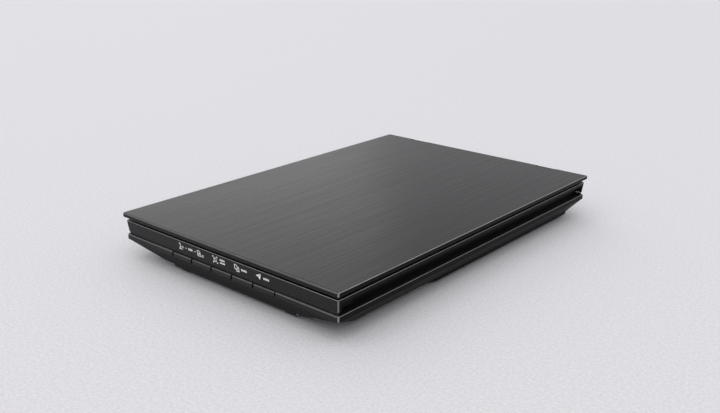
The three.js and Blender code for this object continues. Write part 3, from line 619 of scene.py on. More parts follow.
MATERIALS = {
    "lid_charcoal": hairline_lid(),
    "shell_black": moulded(
        "shell_black", "0b0c0d", "131415", 0.5, edge_highlight="6c6d6e", shine=(0.85, 0.38, 0.7)
    ),
    "key_plastic": moulded(
        "key_plastic", "0c0d0e", "141516", 0.42, edge_highlight="5c5d5e", shine=(0.0, 0.3, 0.0)
    ),
    "inner_plastic": moulded("inner_plastic", "1f2021", "2a2b2d", 0.58, grain_mm=0.5),
    "switch_plastic": moulded("switch_plastic", "101011", "1a1a1b", 0.5),
    "nylon": nylon_white(),
    "platen_glass": clear_glass(),
    "lens_glass": rod_lens(),
    "light_guide": clear_acrylic(),
    "white_strip": paper_white("white_strip", "f0f0ec", "f7f7f4", 0.6, 0.01),
    "pad_foam": foam(),
    "pad_sheet": paper_white("pad_sheet", "eaeae7", "eeeeeb", 0.42, 0.01),
    "rubber": rubber_black(),
    "steel": metal("steel", "8f9499", "b9bdc1", 0.3),
    "plated_metal": metal("plated_metal", "a6a9ab", "cfd1d2", 0.22, brushed=(0.6, 0.6, 6)),
    "brass": metal("brass", "b08d4a", "d9b978", 0.28),
    "circuit_board": board_green(),
    "ribbon": ribbon(),
}
PRINT_WHITE = paper_white("printed_symbols", "f0f0ee", "fafaf8", 0.5, 0.004)


# ---- Housing -----------------------------------------------------------------------------------
def inset_plan(inset, radius=LID_CORNER):
    """The lid's outline moved inwards."""
    return rectangle(HALF_X - inset, inset - HALF_Y, HALF_Y - inset, radius)


def middle_plan(inset):
    """The closed middle of the housing, between the finger recesses."""
    return rectangle(GRIP_X - inset, inset - UPPER_WALL_Y, UPPER_WALL_Y - inset, 1.0)


def mirrored(right):
    return right + [(-x, y) for x, y in reversed(right)]


def underside_plan(inset, radius=7.0):
    """The flat underside, an octagon with its front corners cut well back."""
    x = HALF_X - 11 - inset
    front = 9.5 - HALF_Y + inset
    rear = HALF_Y - 7.5 - inset
    third = inset / 3
    right = [(x - 31 + third, front), (x, front + 17 - third), (x, rear - 8 + third), (x - 8 + third, rear)]
    reach = min(radius, 4.0)
    return rounded_each(mirrored(right), [radius, radius, reach, reach] + [reach, reach, radius, radius], 5)


def belly_plan(inset):
    """The belly under it, which narrows towards the front."""
    x = HALF_X - 12 - inset
    right = [(x - 40, 11.5 - HALF_Y + inset), (x, 133.5 - HALF_Y), (x, HALF_Y - 12.5 - inset)]
    points = [5, 5, 10, 10, 5, 5]
    return rounded_each(mirrored(right), [4, 12, 7, 7, 12, 4], points)


def rounded_each(polygon, radii, points):
    """Like rounded, with a radius and a number of points for each corner."""
    if isinstance(points, int):
        points = [points] * len(polygon)
    made = []
    for i, (radius, count) in enumerate(zip(radii, points)):
        whole = rounded(polygon, radius, count)
        made += whole[i * count : (i + 1) * count]
    return made


def outer_lower_rings():
    """The lower housing's outside, from the top of its lip down to the belly."""
    lip = rolled_edge(LIP_X, LIP_Y, LID_CORNER, LIP_TOP, 1.5, 0.5, 6)[::-1]
    under = rolled_edge(LIP_X, LIP_Y, LID_CORNER, LIP_BOTTOM, 0.5, 0.4, 3, low_side=True)[::-1]
    skirt_inset = HALF_X - LIP_X + 0.6
    return [
        *lip,
        *under,
        at_height(inset_plan(skirt_inset), LIP_BOTTOM),
        at_height(inset_plan(skirt_inset + 0.05), LIP_BOTTOM - 0.2),
        at_height(underside_plan(0), SKIRT_FLOOR + 0.3),
        at_height(underside_plan(0.3), SKIRT_FLOOR),
        at_height(belly_plan(-0.4), SKIRT_FLOOR),
        at_height(belly_plan(-0.05), BELLY_FLOOR + 0.4),
        at_height(belly_plan(0.4), BELLY_FLOOR),
    ]


SOCKET = middle_of("usb_socket")
SOCKET_DEEP = box_mm("usb_socket")[0].x + 2.2  # where the wall behind the plug's recess begins
LOCK = middle_of("carriage_lock_slider")


def lower_inside():
    """The lower housing's inner faces, from the belly's floor up and over the upstand at the seam."""
    lip_inset = HALF_X - LIP_X
    return [
        at_height(belly_plan(WALL), BELLY_FLOOR + WALL),
        at_height(belly_plan(WALL - 0.4), SKIRT_FLOOR + WALL),
        at_height(underside_plan(WALL), SKIRT_FLOOR + WALL),
        at_height(inset_plan(lip_inset + 0.6 + WALL), LIP_BOTTOM),
        at_height(inset_plan(lip_inset + WALL), LIP_BOTTOM + 0.3),
        at_height(inset_plan(lip_inset + WALL), LIP_TOP - LEDGE),
        at_height(middle_plan(SEAM_INSET + SEAM_WALL), LIP_TOP - LEDGE),
        at_height(middle_plan(SEAM_INSET + SEAM_WALL), UPSTAND_TOP - 0.2),
        at_height(middle_plan(SEAM_INSET + SEAM_WALL - 0.2), UPSTAND_TOP),
        at_height(middle_plan(SEAM_INSET + 0.2), UPSTAND_TOP),
        at_height(middle_plan(SEAM_INSET), UPSTAND_TOP - 0.2),
        at_height(middle_plan(SEAM_INSET), LIP_TOP),
    ]


def lower_fittings():
    """Screw bosses, board posts and ribs, and the pads behind the socket and the lock."""
    parts = [upright(4.2, SKIRT_FLOOR, 15.7, p, 32) for p in SCREWS.values()]
    board = middle_of("main_board")
    board_under = box_mm("main_board")[0].z
    for u in (-23, 23):
        for v in (-26, 26):
            place = board + Vector((u, v, 0))
            parts.append(upright(2.2, BELLY_FLOOR + 1, board_under - 0.3, place, 24))
    rib = box_mm("button_board")[1].y + 0.3
    for x in (-55, 55):
        parts.append(block((x - 1.5, rib, BELLY_FLOOR + 1), (x + 1.5, rib + 1, LIP_TOP - 2.7)))
    socket_pad = (SOCKET_DEEP - 8, SOCKET.y - 9, SKIRT_FLOOR + 0.2)
    parts.append(block(socket_pad, (SOCKET_DEEP, SOCKET.y + 9, SOCKET.z + 4.3)))
    lock_pad = (LOCK.x - 12.5, LOCK.y - 7, BELLY_FLOOR + 0.5)
    parts.append(block(lock_pad, (LOCK.x + 12, LOCK.y + 7, BELLY_FLOOR + WALL + 1.2)))
    lip_inset = HALF_X - LIP_X
    core = [
        at_height(inset_plan(lip_inset + 0.9), LIP_TOP - 0.5),
        at_height(inset_plan(lip_inset + 1.5), LIP_BOTTOM + 0.3),
        at_height(underside_plan(0.9), SKIRT_FLOOR + 0.8),
        at_height(belly_plan(0.35), SKIRT_FLOOR + 0.7),
        at_height(belly_plan(0.8), BELLY_FLOOR + 0.7),
    ]
    return carve(joined(parts), [("keep", loft(core))])


def lower_openings():
    """The key bay and its wall, the keys' stem holes, screw bores, and the socket's and lock's openings."""
    bay_rear = KEY_SEAT + WALL
    wall_low = (-BAY_X - 2.4, -UPPER_WALL_Y + 1.4, LIP_BOTTOM - 1.5)
    steps = [
        ("add", block(wall_low, (BAY_X + 2.4, bay_rear, UPSTAND_TOP - 0.3))),
        ("cut", block((-BAY_X, -HALF_Y - 1, LIP_BOTTOM + 0.06), (BAY_X, KEY_SEAT, LIP_TOP + 0.2))),
    ]
    hole_low = KEY_BOXES[0][0].z + 0.7
    hole_high = KEY_BOXES[0][1].z - 0.7
    for low, high in KEY_BOXES:
        x = (low.x + high.x) / 2
        steps.append(("cut", block((x - 3, KEY_SEAT - 2, hole_low), (x + 3, bay_rear + 1, hole_high))))
    bore = [(3.3, 0), (3.3, 12.5), (1.7, 12.5), (1.7, 18.5)]
    for p in SCREWS.values():
        steps.append(("cut", turned(bore, (p.x, p.y, 0), segments=32)))
    holes = [
        ((-HALF_X, SOCKET.y - 7, SOCKET.z - 2.9), (SOCKET_DEEP - 1.4, SOCKET.y + 7, SOCKET.z + 2.9)),
        ((SOCKET_DEEP - 3, SOCKET.y - 4.8, SOCKET.z - 2), (SOCKET_DEEP + 1, SOCKET.y + 4.8, SOCKET.z + 2)),
        ((LOCK.x - 10.6, LOCK.y - 5, 0), (LOCK.x + 6, LOCK.y + 5, BELLY_FLOOR + 1.9)),
        ((LOCK.x - 8.6, LOCK.y - 2.4, 0), (LOCK.x + 2.6, LOCK.y + 2.4, BELLY_FLOOR + WALL + 2)),
    ]
    return steps + [("cut", block(low, high)) for low, high in holes]


def seam_tongues():
    """A block in each corner, across the seam between the two housings."""
    tongue_x = UPPER_WALL_X - 0.95
    tongue_y = UPPER_WALL_Y - SEAM_INSET - 0.13
    made = []
    for x in (-1, 1):
        for y in (-1, 1):
            near_x, far_x = sorted((x * (GRIP_X - 1.7), x * tongue_x))
            near_y, far_y = sorted((y * (tongue_y - 1.21), y * tongue_y))
            made.append(block((near_x, near_y, LIP_TOP - 1.13), (far_x, far_y, UPSTAND_TOP - 0.37)))
    return made


def make_lower_housing():
    shell = loft(lower_inside() + outer_lower_rings())
    shell = carve(shell, [("add", lower_fittings()), *lower_openings()])
    shell = soften(shell, 0.2, shortest=2.5)
    piece("lower_housing_shell", joined([shell, *seam_tongues()]), "root", "shell_black", ["lower_housing"])


def make_upper_housing():
    """A frame round the glass, with finger recesses along its sides."""
    foot_x = UPPER_WALL_X
    foot_y = UPPER_WALL_Y

    def window(inset):
        return rectangle(WINDOW_X - inset, WINDOW_FRONT + inset, WINDOW_REAR - inset, 1.2)

    seat = rectangle(GLASS_HIGH.x + 0.3, GLASS_LOW.y - 0.3, GLASS_HIGH.y + 0.3, 0.3)
    rings = [
        at_height(rectangle(foot_x - 0.25, 0.25 - foot_y, foot_y - 0.25, LID_CORNER), SKIRT_FOOT),
        at_height(rectangle(foot_x, -foot_y, foot_y, LID_CORNER), SKIRT_FOOT + 0.25),
        *rolled_edge(UPPER_HIGH.x, UPPER_HIGH.y, LID_CORNER, FLANGE_TOP, 0.55, 0.5, 5),
        at_height(window(-0.4), FLANGE_TOP),
        at_height(window(-0.12), FLANGE_TOP - 0.12),
        at_height(window(0), FLANGE_TOP - 0.4),
        at_height(window(0), FLANGE_TOP - BEZEL_LIP),
        at_height(seat, FLANGE_TOP - BEZEL_LIP),
        at_height(seat, PLATE_UNDER),
        at_height(middle_plan(WALL), PLATE_UNDER),
        at_height(middle_plan(WALL), SKIRT_FOOT),
    ]
    steps = []
    for sign in (-1, 1):
        near, far = sorted((sign * GRIP_X, sign * (HALF_X + 1)))
        recess = block((near, -GRIP_END, 0), (far, GRIP_END, PLATE_UNDER))
        near, far = sorted((sign * (GRIP_X - 1), sign * (GRIP_X + GRIP_STEP[0])))
        step_end = GRIP_STEP[1] - GRIP_END
        shallow = block((near, -GRIP_END - 1, 0), (far, step_end, PLATE_UNDER + 1))
        steps.append(("cut", carve(recess, [("cut", shallow)])))
    for p in SCREWS.values():
        steps.append(("add", upright(3.6, 16, PLATE_UNDER + 0.5, p, 32)))
        steps.append(("cut", upright(1.7, 10, 29, p, 24)))
    post_rear = HALF_Y - 10
    above = HALF_X  # any height above the flange
    for side in ("left", "right"):
        low, high = box_mm(side + "_hinge_post")
        slot_low = (low.x - 0.3, post_rear - 3.3, PLATE_UNDER - 1)
        steps.append(("cut", block(slot_low, (high.x + 0.3, post_rear + 0.3, above))))
    room = 0.3
    strip_low = (STRIP_LOW.x - room, STRIP_LOW.y - room, PLATE_UNDER)
    strip_high = (STRIP_HIGH.x + room, STRIP_HIGH.y + room, STRIP_HIGH.z + 0.1)
    steps.append(("cut", block(strip_low, strip_high)))
    shell = soften(carve(loft(rings, closed=True), steps), 0.2, shortest=2.5)
    piece("upper_housing_shell", shell, "root", "shell_black", ["upper_housing"])


def make_lid():
    """The lid's outer shell, hollow below, with a notch for each hinge bracket."""
    top = LID_HIGH.z
    bottom = LID_LOW.z

    def hollow(inset):
        return inset_plan(LID_RIM + inset, LID_CORNER - 1)

    rings = [
        at_height(hollow(0.4), top - LID_SKIN),
        at_height(hollow(0), top - LID_SKIN - 0.4),
        at_height(hollow(0), bottom + 0.2),
        at_height(hollow(-0.2), bottom),
        *rolled_edge(HALF_X, HALF_Y, LID_CORNER, bottom, 0.6, ROLL_SIDE, 3, low_side=True),
        *rolled_edge(HALF_X, HALF_Y, LID_CORNER, top, ROLL_FRONT, ROLL_SIDE, 7),
    ]
    steps = []
    for side in ("left", "right"):
        low, high = box_mm(side + "_lid_bracket")
        notch_low = (low.x - 0.3, box_mm(side + "_hinge_pin")[1].y - 4.2, 0)
        steps.append(("cut", block(notch_low, (high.x + 0.3, HALF_Y + 1, top + 1))))
    shell = soften(carve(loft(rings), steps), 0.25, shortest=2.0)
    piece("lid_top_shell", shell, "lid", "lid_charcoal", ["lid_outer_shell"])


# ---- Keys and their symbols --------------------------------------------------------------------
def make_keys():
    """Keys with a rounded upper front edge and a stem behind, each a little narrower than its CAD node."""
    back = KEY_FACE + 3.4
    roll = 1.5
    edge = 0.12
    bevel = 0.4
    for name, (low, high) in zip(KEY_NAMES, KEY_BOXES):
        profile = [(back, low.z), (back, high.z)]
        for k in range(8):
            angle = math.pi / 2 * k / 7
            y = KEY_FACE + roll * (1 - math.sin(angle))
            profile.append((y, high.z - roll * (1 - math.cos(angle))))
        profile += [(KEY_FACE, low.z + bevel), (KEY_FACE + edge, low.z + edge), (KEY_FACE + bevel, low.z)]
        middle = Vector(((KEY_FACE + back) / 2, (low.z + high.z) / 2))
        left = low.x + 0.2
        right = high.x - 0.2
        places = [(left, bevel), (left + edge, edge), (left + bevel, 0)]
        places += [(right - bevel, 0), (right - edge, edge), (right, bevel)]
        rings = []
        for x, inset in places:
            size = Vector((1 - inset / 1.7, 1 - inset / 2.1))
            ring = []
            for y, z in profile:
                away = Vector((y, z)) - middle
                ring.append(Vector((x, middle.x + away.x * size.x, middle.y + away.y * size.y)))
            rings.append(ring)
        centre = (low.x + high.x) / 2
        stem = block((centre - 2.5, back - 0.5, low.z + 1.1), (centre + 2.5, high.y, high.z - 1.1))
        key = carve(loft(rings), [("add", stem)])
        piece(name + "_key_cap", key, name + "_key", "key_plastic", [name + "_button"])


SYMBOL_SIZE = 1.3


def stroke(points, width, closed=False):
    """A line of even width on a plane, with mitred corners: two rows of points."""
    points = [Vector(p) for p in points]
    count = len(points)
    left, right = [], []
    for i, here in enumerate(points):
        before = points[i - 1] if closed or i else here + (here - points[i + 1])
        after = points[(i + 1) % count] if closed or i + 1 < count else here + (here - points[i - 1])
        d1 = (here - before).normalized()
        d2 = (after - here).normalized()
        n1 = Vector((-d1.y, d1.x))
        n2 = Vector((-d2.y, d2.x))
        miter = (n1 + n2).normalized()
        reach = width * 0.68 / max(miter.dot(n1), 0.5)
        left.append(here + miter * reach)
        right.append(here - miter * reach)
    return left, right, closed


def printed(name, shapes, middle_x):
    """Flat symbols on the front wall. A shape is a stroke or a filled convex outline."""
    middle_z = 30.2
    lean = SKIRT_TAPER / (FLANGE_TOP - 0.55 - SKIRT_FOOT)
    wall_top = FLANGE_TOP - 0.55

    def on_wall(p, proud):
        z = middle_z + p.y * SYMBOL_SIZE
        y = -UPPER_HIGH.y + (wall_top - z) * lean
        return Vector((middle_x + p.x * SYMBOL_SIZE, y - proud, z))

    bm = bmesh.new()
    for shape in shapes:
        if isinstance(shape, tuple):
            left, right, closed = shape
            count = len(left)
            rows = [
                [bm.verts.new(on_wall(p, proud)) for p in side]
                for side, proud in ((left, -0.05), (left, 0.03), (right, 0.03), (right, -0.05))
            ]
            last = count if closed else count - 1
            for i in range(last):
                k = (i + 1) % count
                for a, b in zip(rows, rows[1:] + rows[:1]):
                    bm.faces.new((a[i], a[k], b[k], b[i]))
            if not closed:
                bm.faces.new([row[0] for row in rows])
                bm.faces.new([row[-1] for row in rows][::-1])
        else:
            low = [bm.verts.new(on_wall(Vector(p), -0.05)) for p in shape]
            high = [bm.verts.new(on_wall(Vector(p), 0.03)) for p in shape]
            bm.faces.new(low[::-1])
            bm.faces.new(high)
            for i in range(len(low)):
                k = (i + 1) % len(low)
                bm.faces.new((low[i], low[k], high[k], high[i]))
    bmesh.ops.recalc_face_normals(bm, faces=bm.faces)
    piece(name, bm, "root", "white_strip", material=PRINT_WHITE)


def bar(x0, z0, x1, z1):
    return [(x0, z0), (x1, z0), (x1, z1), (x0, z1)]


def page(x, z, wide=2.6, tall=3.4, line=0.34):
    """A sheet with a folded corner."""
    fold = 0.9
    side = x + wide
    top = z + tall
    outline = [(x, z), (side, z), (side, top - fold), (side - fold, top), (x, top)]
    return stroke(outline, line, closed=True)


def make_symbols():
    """Plain symbols above the keys; short marks stand where the real keys have their words."""
    middles = [(low.x + high.x) / 2 for low, high in KEY_BOXES]
    start, finish, auto, copies, send = middles
    arrow = [
        stroke([(-4.6, 1.9), (-3.4, 1.9), (-3.4, -0.4)], 0.4),
        [(-4.2, -0.3), (-2.6, -0.3), (-3.4, -1.4)],
    ]
    feeder = [bar(-5.0, -2.0, -1.6, -1.5), bar(-2.1, -0.7, -0.4, -0.3), bar(-2.1, 0.1, -0.4, 0.5)]
    printed("start_symbol", [*arrow, *feeder], start + 2.9)
    word = [bar(-2.0 + 1.4 * i, -0.75, -1.05 + 1.4 * i, 0.75) for i in range(3)]
    linked = [bar(-5.1, -0.2, -3.6, 0.15), *word, bar(3.6, -0.2, 5.1, 0.15)]
    printed("linked_symbol", linked, (start + finish) / 2 - 0.7)
    done = [
        page(-2.2, -1.9),
        stroke([(-1.5, -0.2), (-0.9, -0.9), (0.3, 0.7)], 0.4),
        bar(1.2, -1.9, 3.4, -1.4),
        bar(2.0, -0.9, 3.4, -0.45),
    ]
    printed("finish_symbol", done, finish - 1.2)
    corners = [
        stroke([(-4.0, 1.2), (-4.0, 2.0), (-3.2, 2.0)], 0.38),
        stroke([(-0.8, 2.0), (0.0, 2.0), (0.0, 1.2)], 0.38),
        stroke([(-4.0, -1.3), (-4.0, -2.1), (-3.2, -2.1)], 0.38),
        stroke([(-0.8, -2.1), (0.0, -2.1), (0.0, -1.3)], 0.38),
        page(-3.0, -1.2, wide=1.9, tall=2.3, line=0.34),
    ]
    rows = [bar(2.3 + 1.15 * i, row, 3.15 + 1.15 * i, row + 1.1) for row in (0.45, -1.5) for i in range(4)]
    printed("automatic_symbol", [*corners, *rows], auto - 3.9)
    two = [
        page(-4.2, -0.9, wide=2.2, tall=2.8, line=0.36),
        stroke([(-2.9, -1.4), (-2.9, -2.1), (-0.7, -2.1), (-0.7, 0.7), (-1.5, 0.7)], 0.36),
    ]
    line = [bar(1.4 + 1.25 * i, -0.9, 2.3 + 1.25 * i, 0.4) for i in range(4)]
    printed("copy_symbol", [*two, *line], copies - 2.3)
    plane = [[(-4.8, 0.3), (-0.5, 2.1), (-3.1, -0.4)], [(-2.9, -0.6), (-0.3, 1.9), (-1.7, -2.0)]]
    printed("send_symbol", [*plane, *line], send - 1.9)


# ---- Feet and screws ---------------------------------------------------------------------------
# Inset and height of a foot's rings, from the floor up.
FOOT_PROFILE = [(3.2, 0.25), (2.6, 0), (1.0, 0), (0.35, 0.18), (0.06, 0.6), (0, 1.1), (0, 2.1), (0.35, 2.3)]


def make_feet():
    for corner in CORNERS:
        low, high = box_mm("foot_" + corner)
        middle = (low + high) / 2
        rings = []
        for inset, z in [*FOOT_PROFILE, (0.35, high.z)]:
            x = (high.x - low.x) / 2 - inset
            y = (high.y - low.y) / 2 - inset
            plan = rectangle(x, -y, y, 3.0 - min(inset, 2) * 0.6)
            rings.append(at_height(plan, z, middle))
        piece("rubber_foot_" + corner, loft(rings), "root", "rubber", ["foot_" + corner])


def make_screws():
    """Screws with a domed head, a cross slot and a coarse thread."""
    profile = [(1.6, 10.4), (2.4, 10.5), (2.85, 10.8), (3.0, 11.2), (3.0, 12.2), (1.4, 12.2), (1.4, 13.0)]
    for i in range(17):
        z = 13.2 + i * 0.9
        profile += [(1.12, z), (1.4, z + 0.25), (1.4, z + 0.35), (1.12, z + 0.6)]
    profile.append((0.3, 28.0))
    for name, p in SCREWS.items():
        cross = []
        for half_x, half_y in ((1.7, 0.35), (0.35, 1.7)):
            slot = block((p.x - half_x, p.y - half_y, 9), (p.x + half_x, p.y + half_y, 11.3))
            cross.append(("cut", slot))
        screw = carve(turned(profile, (p.x, p.y, 0), segments=28), cross)
        piece("screw_" + name, screw, "root", "steel", ["housing_screw_" + name])


make_lower_housing()
make_upper_housing()
make_lid()
make_keys()
make_symbols()
make_feet()
make_screws()


# ---- Lid inside, glass and pad -----------------------------------------------------------------
def plate(name, low, high, corner, edge, body, slot, node):
    """A flat plate with rounded corners and softened edges."""
    x = (high.x - low.x) / 2
    y = (high.y - low.y) / 2
    middle = (low + high) / 2
    steps = 3
    bottom = []
    top = []
    for i in range(steps + 1):
        angle = math.pi / 2 * i / steps
        inset = edge * (1 - math.sin(angle))
        rise = edge * (1 - math.cos(angle))
        plan = rectangle(x - inset, inset - y, y - inset, corner - inset / 2, 8)
        bottom.append(at_height(plan, low.z + rise, middle))
        top.append(at_height(plan, high.z - rise, middle))
    return piece(name, loft(bottom + top[::-1]), body, slot, [node])


def make_pad():
    """The foam pad has rounded edges and a faintly uneven lower face, and a white sheet lies under it."""
    middle = (FOAM_LOW + FOAM_HIGH) / 2
    half = (FOAM_HIGH - FOAM_LOW) / 2
    columns = 36
    rows = 48

    def edge_distance(u, v):
        return min((1 - abs(u)) * half.x, (1 - abs(v)) * half.y)

    bm = bmesh.new()
    grids = []
    for side in (-1, 1):
        grid = []
        for j in range(rows + 1):
            line = []
            for i in range(columns + 1):
                u = math.sin(math.pi / 2 * (2 * i / columns - 1))
                v = math.sin(math.pi / 2 * (2 * j / rows - 1))
                inward = min(edge_distance(u, v) / 1.4, 1.0)
                crown = math.sqrt(max(1 - (1 - inward) ** 2, 0.0))
                ripple = 0.06 * math.sin(9 * u + 2 * v) * math.sin(11 * v - 3 * u) * inward
                z = middle.z + side * (half.z * (0.5 + 0.5 * crown) - 0.08) + ripple * (side < 0)
                squeeze = 1 - 0.004 * (1 - inward)
                x = middle.x + u * half.x * squeeze
                y = middle.y + v * half.y * squeeze
                line.append(bm.verts.new((x, y, z)))
            grid.append(line)
        grids.append(grid)
    low, high = grids
    for j in range(rows):
        for i in range(columns):
            bm.faces.new((low[j][i], low[j + 1][i], low[j + 1][i + 1], low[j][i + 1]))
            bm.faces.new((high[j][i], high[j][i + 1], high[j + 1][i + 1], high[j + 1][i]))
    border = [(0, i) for i in range(columns)] + [(j, columns) for j in range(rows)]
    border += [(rows, columns - i) for i in range(columns)] + [(rows - j, 0) for j in range(rows)]
    for k, (j, i) in enumerate(border):
        m, n = border[(k + 1) % len(border)]
        bm.faces.new((low[j][i], low[m][n], high[m][n], high[j][i]))
    bmesh.ops.recalc_face_normals(bm, faces=bm.faces)
    pad = piece("foam_pad", bm, "lid", "pad_foam", ["document_pad_foam"], smooth=60)
    plate("pad_sheet", SHEET_LOW, SHEET_HIGH, 2.5, 0.12, "lid", "pad_sheet", "document_pad_sheet")


def make_glass():
    pane = plate("scan_glass", GLASS_LOW, GLASS_HIGH, 0.6, 0.35, "root", "platen_glass", "platen_glass")
    pane.visible_shadow = False
    plate("white_strip", STRIP_LOW, STRIP_HIGH, 0.5, 0.1, "root", "white_strip", "white_calibration_strip")


# ---- Drive -------------------------------------------------------------------------------------
GEAR_MODULE = 1.0
GEAR_LOW, GEAR_HIGH = box_mm("drive_gear")
AXLE_RADIUS = (box_mm("drive_axle")[1].x - box_mm("drive_axle")[0].x) / 2 - 0.7
CIRCLE = [2 * math.pi * i / 40 for i in range(40)]


GEAR_CENTRES = {
    "drive_gear": middle_of("drive_axle"),
    "idler_gear": middle_of("idler_axle"),
    "motor_pinion": middle_of("drive_motor"),
}


def gear_outline(teeth, root, tip, phase):
    """Spur teeth with slanted flanks and rounded tips."""
    pitch = 2 * math.pi / teeth
    depth = tip - root
    tooth = [
        (-0.30, root),
        (-0.24, root + 0.12 * depth),
        (-0.12, tip - 0.12 * depth),
        (-0.07, tip),
        (0.07, tip),
        (0.12, tip - 0.12 * depth),
        (0.24, root + 0.12 * depth),
        (0.30, root),
    ]
    made = []
    for number in range(teeth):
        for share, radius in tooth:
            angle = phase + (number + share) * pitch
            made.append(Vector((radius * math.cos(angle), radius * math.sin(angle))))
    return made


def first_tooth(points, teeth, tip):
    """The angle of a gear's first tooth, from the points of its CAD node about its axis."""
    sine = 0.0
    cosine = 0.0
    for p in points:
        if p.length > tip - 0.12:
            angle = math.atan2(p.y, p.x) * teeth
            sine += math.sin(angle)
            cosine += math.cos(angle)
    return math.atan2(sine, cosine) / teeth


def make_gear(node, teeth, slot, webbed):
    low, high = box_mm(node)
    centre = GEAR_CENTRES[node]
    corners = [v.co / MM for v in bpy.data.objects[node].data.vertices]
    corners = [p for p in corners if p.z < GEAR_HIGH.z + 0.1]
    flat = [Vector((p.x - centre.x, p.y - centre.y)) for p in corners]
    tip = max(p.length for p in flat)
    root = tip - 2.25 * GEAR_MODULE
    phase = first_tooth(flat, teeth, tip)

    def ring(scale, z):
        outline = gear_outline(teeth, root, tip, phase)
        return at_height([p * scale for p in outline], z, centre)

    near = 1 - 0.12 / tip
    bottom = GEAR_LOW.z
    top = GEAR_HIGH.z
    body = loft([ring(near, bottom), ring(1, bottom + 0.12), ring(1, top - 0.12), ring(near, top)])
    at = (centre.x, centre.y, 0)
    if webbed:
        hub = max(2.9, root * 0.36)
        rim = root - 1.2
        steps = []
        for z0, z1 in ((bottom - 1, bottom + 1.1), (top + 1, top - 1.1)):
            sides = ((hub, z0), (rim, z0), (rim - 0.15, z1), (hub + 0.15, z1))
            rings = []
            for r, z in sides:
                circle = [Vector((r * math.cos(a), r * math.sin(a))) for a in CIRCLE]
                rings.append(at_height(circle, z, centre))
            steps.append(("cut", loft(rings, closed=True)))
        steps.append(("cut", turned([(AXLE_RADIUS + 0.25, 0), (AXLE_RADIUS + 0.25, 30)], at, segments=28)))
        body = carve(body, steps)
    else:
        body = joined([body, rod(0.95, top - 0.3, high.z, at, segments=28)])
    piece(node + "_wheel", body, node, slot, [node], smooth=30)


def make_drive():
    make_gear("drive_gear", 16, "nylon", True)
    make_gear("idler_gear", 22, "nylon", True)
    make_gear("motor_pinion", 10, "brass", False)
    for node in ("drive_axle", "idler_axle"):
        low, high = box_mm(node)
        centre = (low + high) / 2
        collar = (high.x - low.x) / 2
        profile = [
            (AXLE_RADIUS - 0.2, low.z),
            (AXLE_RADIUS, low.z + 0.2),
            (AXLE_RADIUS, high.z - 0.8),
            (collar - 0.1, high.z - 0.8),
            (collar, high.z - 0.7),
            (collar, high.z - 0.1),
            (collar - 0.1, high.z),
        ]
        piece(node + "_pin", turned(profile, (centre.x, centre.y, 0)), "carriage", "steel", [node])
    low, high = box_mm("guide_rail")
    centre = (low + high) / 2
    rail = rod((high.x - low.x) / 2, low.y, high.y, (centre.x, 0, centre.z), "y", 0.5, 64)
    piece("round_rail", rail, "root", "steel", ["guide_rail"])


def make_motor():
    """A small can motor with a rolled rim, a mounting plate with two screws, and a bearing boss."""
    low, high = box_mm("drive_motor")
    centre = (low + high) / 2
    radius = (high.y - low.y) / 2
    at = (centre.x, centre.y, 0)
    can = [
        (radius * 0.6, low.z + 0.02),
        (radius - 0.5, low.z + 0.02),
        (radius - 0.02, low.z + 0.4),
        (radius - 0.02, low.z + 1.3),
        (radius - 0.45, low.z + 1.6),
        (radius - 0.45, high.z - 1.5),
        (radius - 0.2, high.z - 1.2),
        (radius - 0.35, high.z - 0.8),
        (radius - 1.1, high.z - 0.5),
        (radius * 0.42, high.z - 0.5),
        (radius * 0.38, high.z - 0.9),
        (radius * 0.25, high.z - 0.9),
        (radius * 0.22, high.z - 0.1),
        (radius * 0.2, high.z),
    ]
    ear = (high.x - low.x) / 2
    plan = rounded([(ear, -3), (ear, 3), (-ear, 3), (-ear, -3)], 2.6, 8)
    ears = loft([at_height(plan, z, centre) for z in (low.z, low.z + 1)])
    parts = [turned(can, at, segments=64), ears]
    screw = [(1.7, 0.9), (1.7, 1.5), (1.3, 1.9), (0.6, 1.9), (0.5, 1.5)]
    head = [(r, low.z + z) for r, z in screw]
    for side in (-1, 1):
        parts.append(turned(head, (centre.x + side * (ear - 2.2), centre.y, 0), segments=24))
    piece("motor_can", joined(parts), "carriage", "plated_metal", ["drive_motor"], smooth=30)


# ---- Electronics -------------------------------------------------------------------------------
# Radius and height of the capacitor's can, with a groove near its foot.
CAN_PROFILE = [(2.9, 0), (2.9, 0.5), (2.7, 0.7), (2.9, 0.9), (2.9, 2.8), (2.7, 3.0), (0.4, 3.0)]
# Where the smallest parts sit, from the board's middle.
SMALL_PARTS = [
    (-24, 6), (-21, 6), (-24, 10), (-21, 10), (-12, 3), (-12, 6), (-12, 10), (12, 12), (15, 12), (18, 12),
    (12, 16), (15, 16), (-6, 17), (-2, 17), (2, 17), (6, 17), (-6, 21), (-2, 21), (2, -6), (5, -6),
    (8, -6), (2, -10), (5, -10), (-3, -10), (-6, -16), (-3, -16), (0, -16), (3, -16), (14, -14), (18, -14),
]


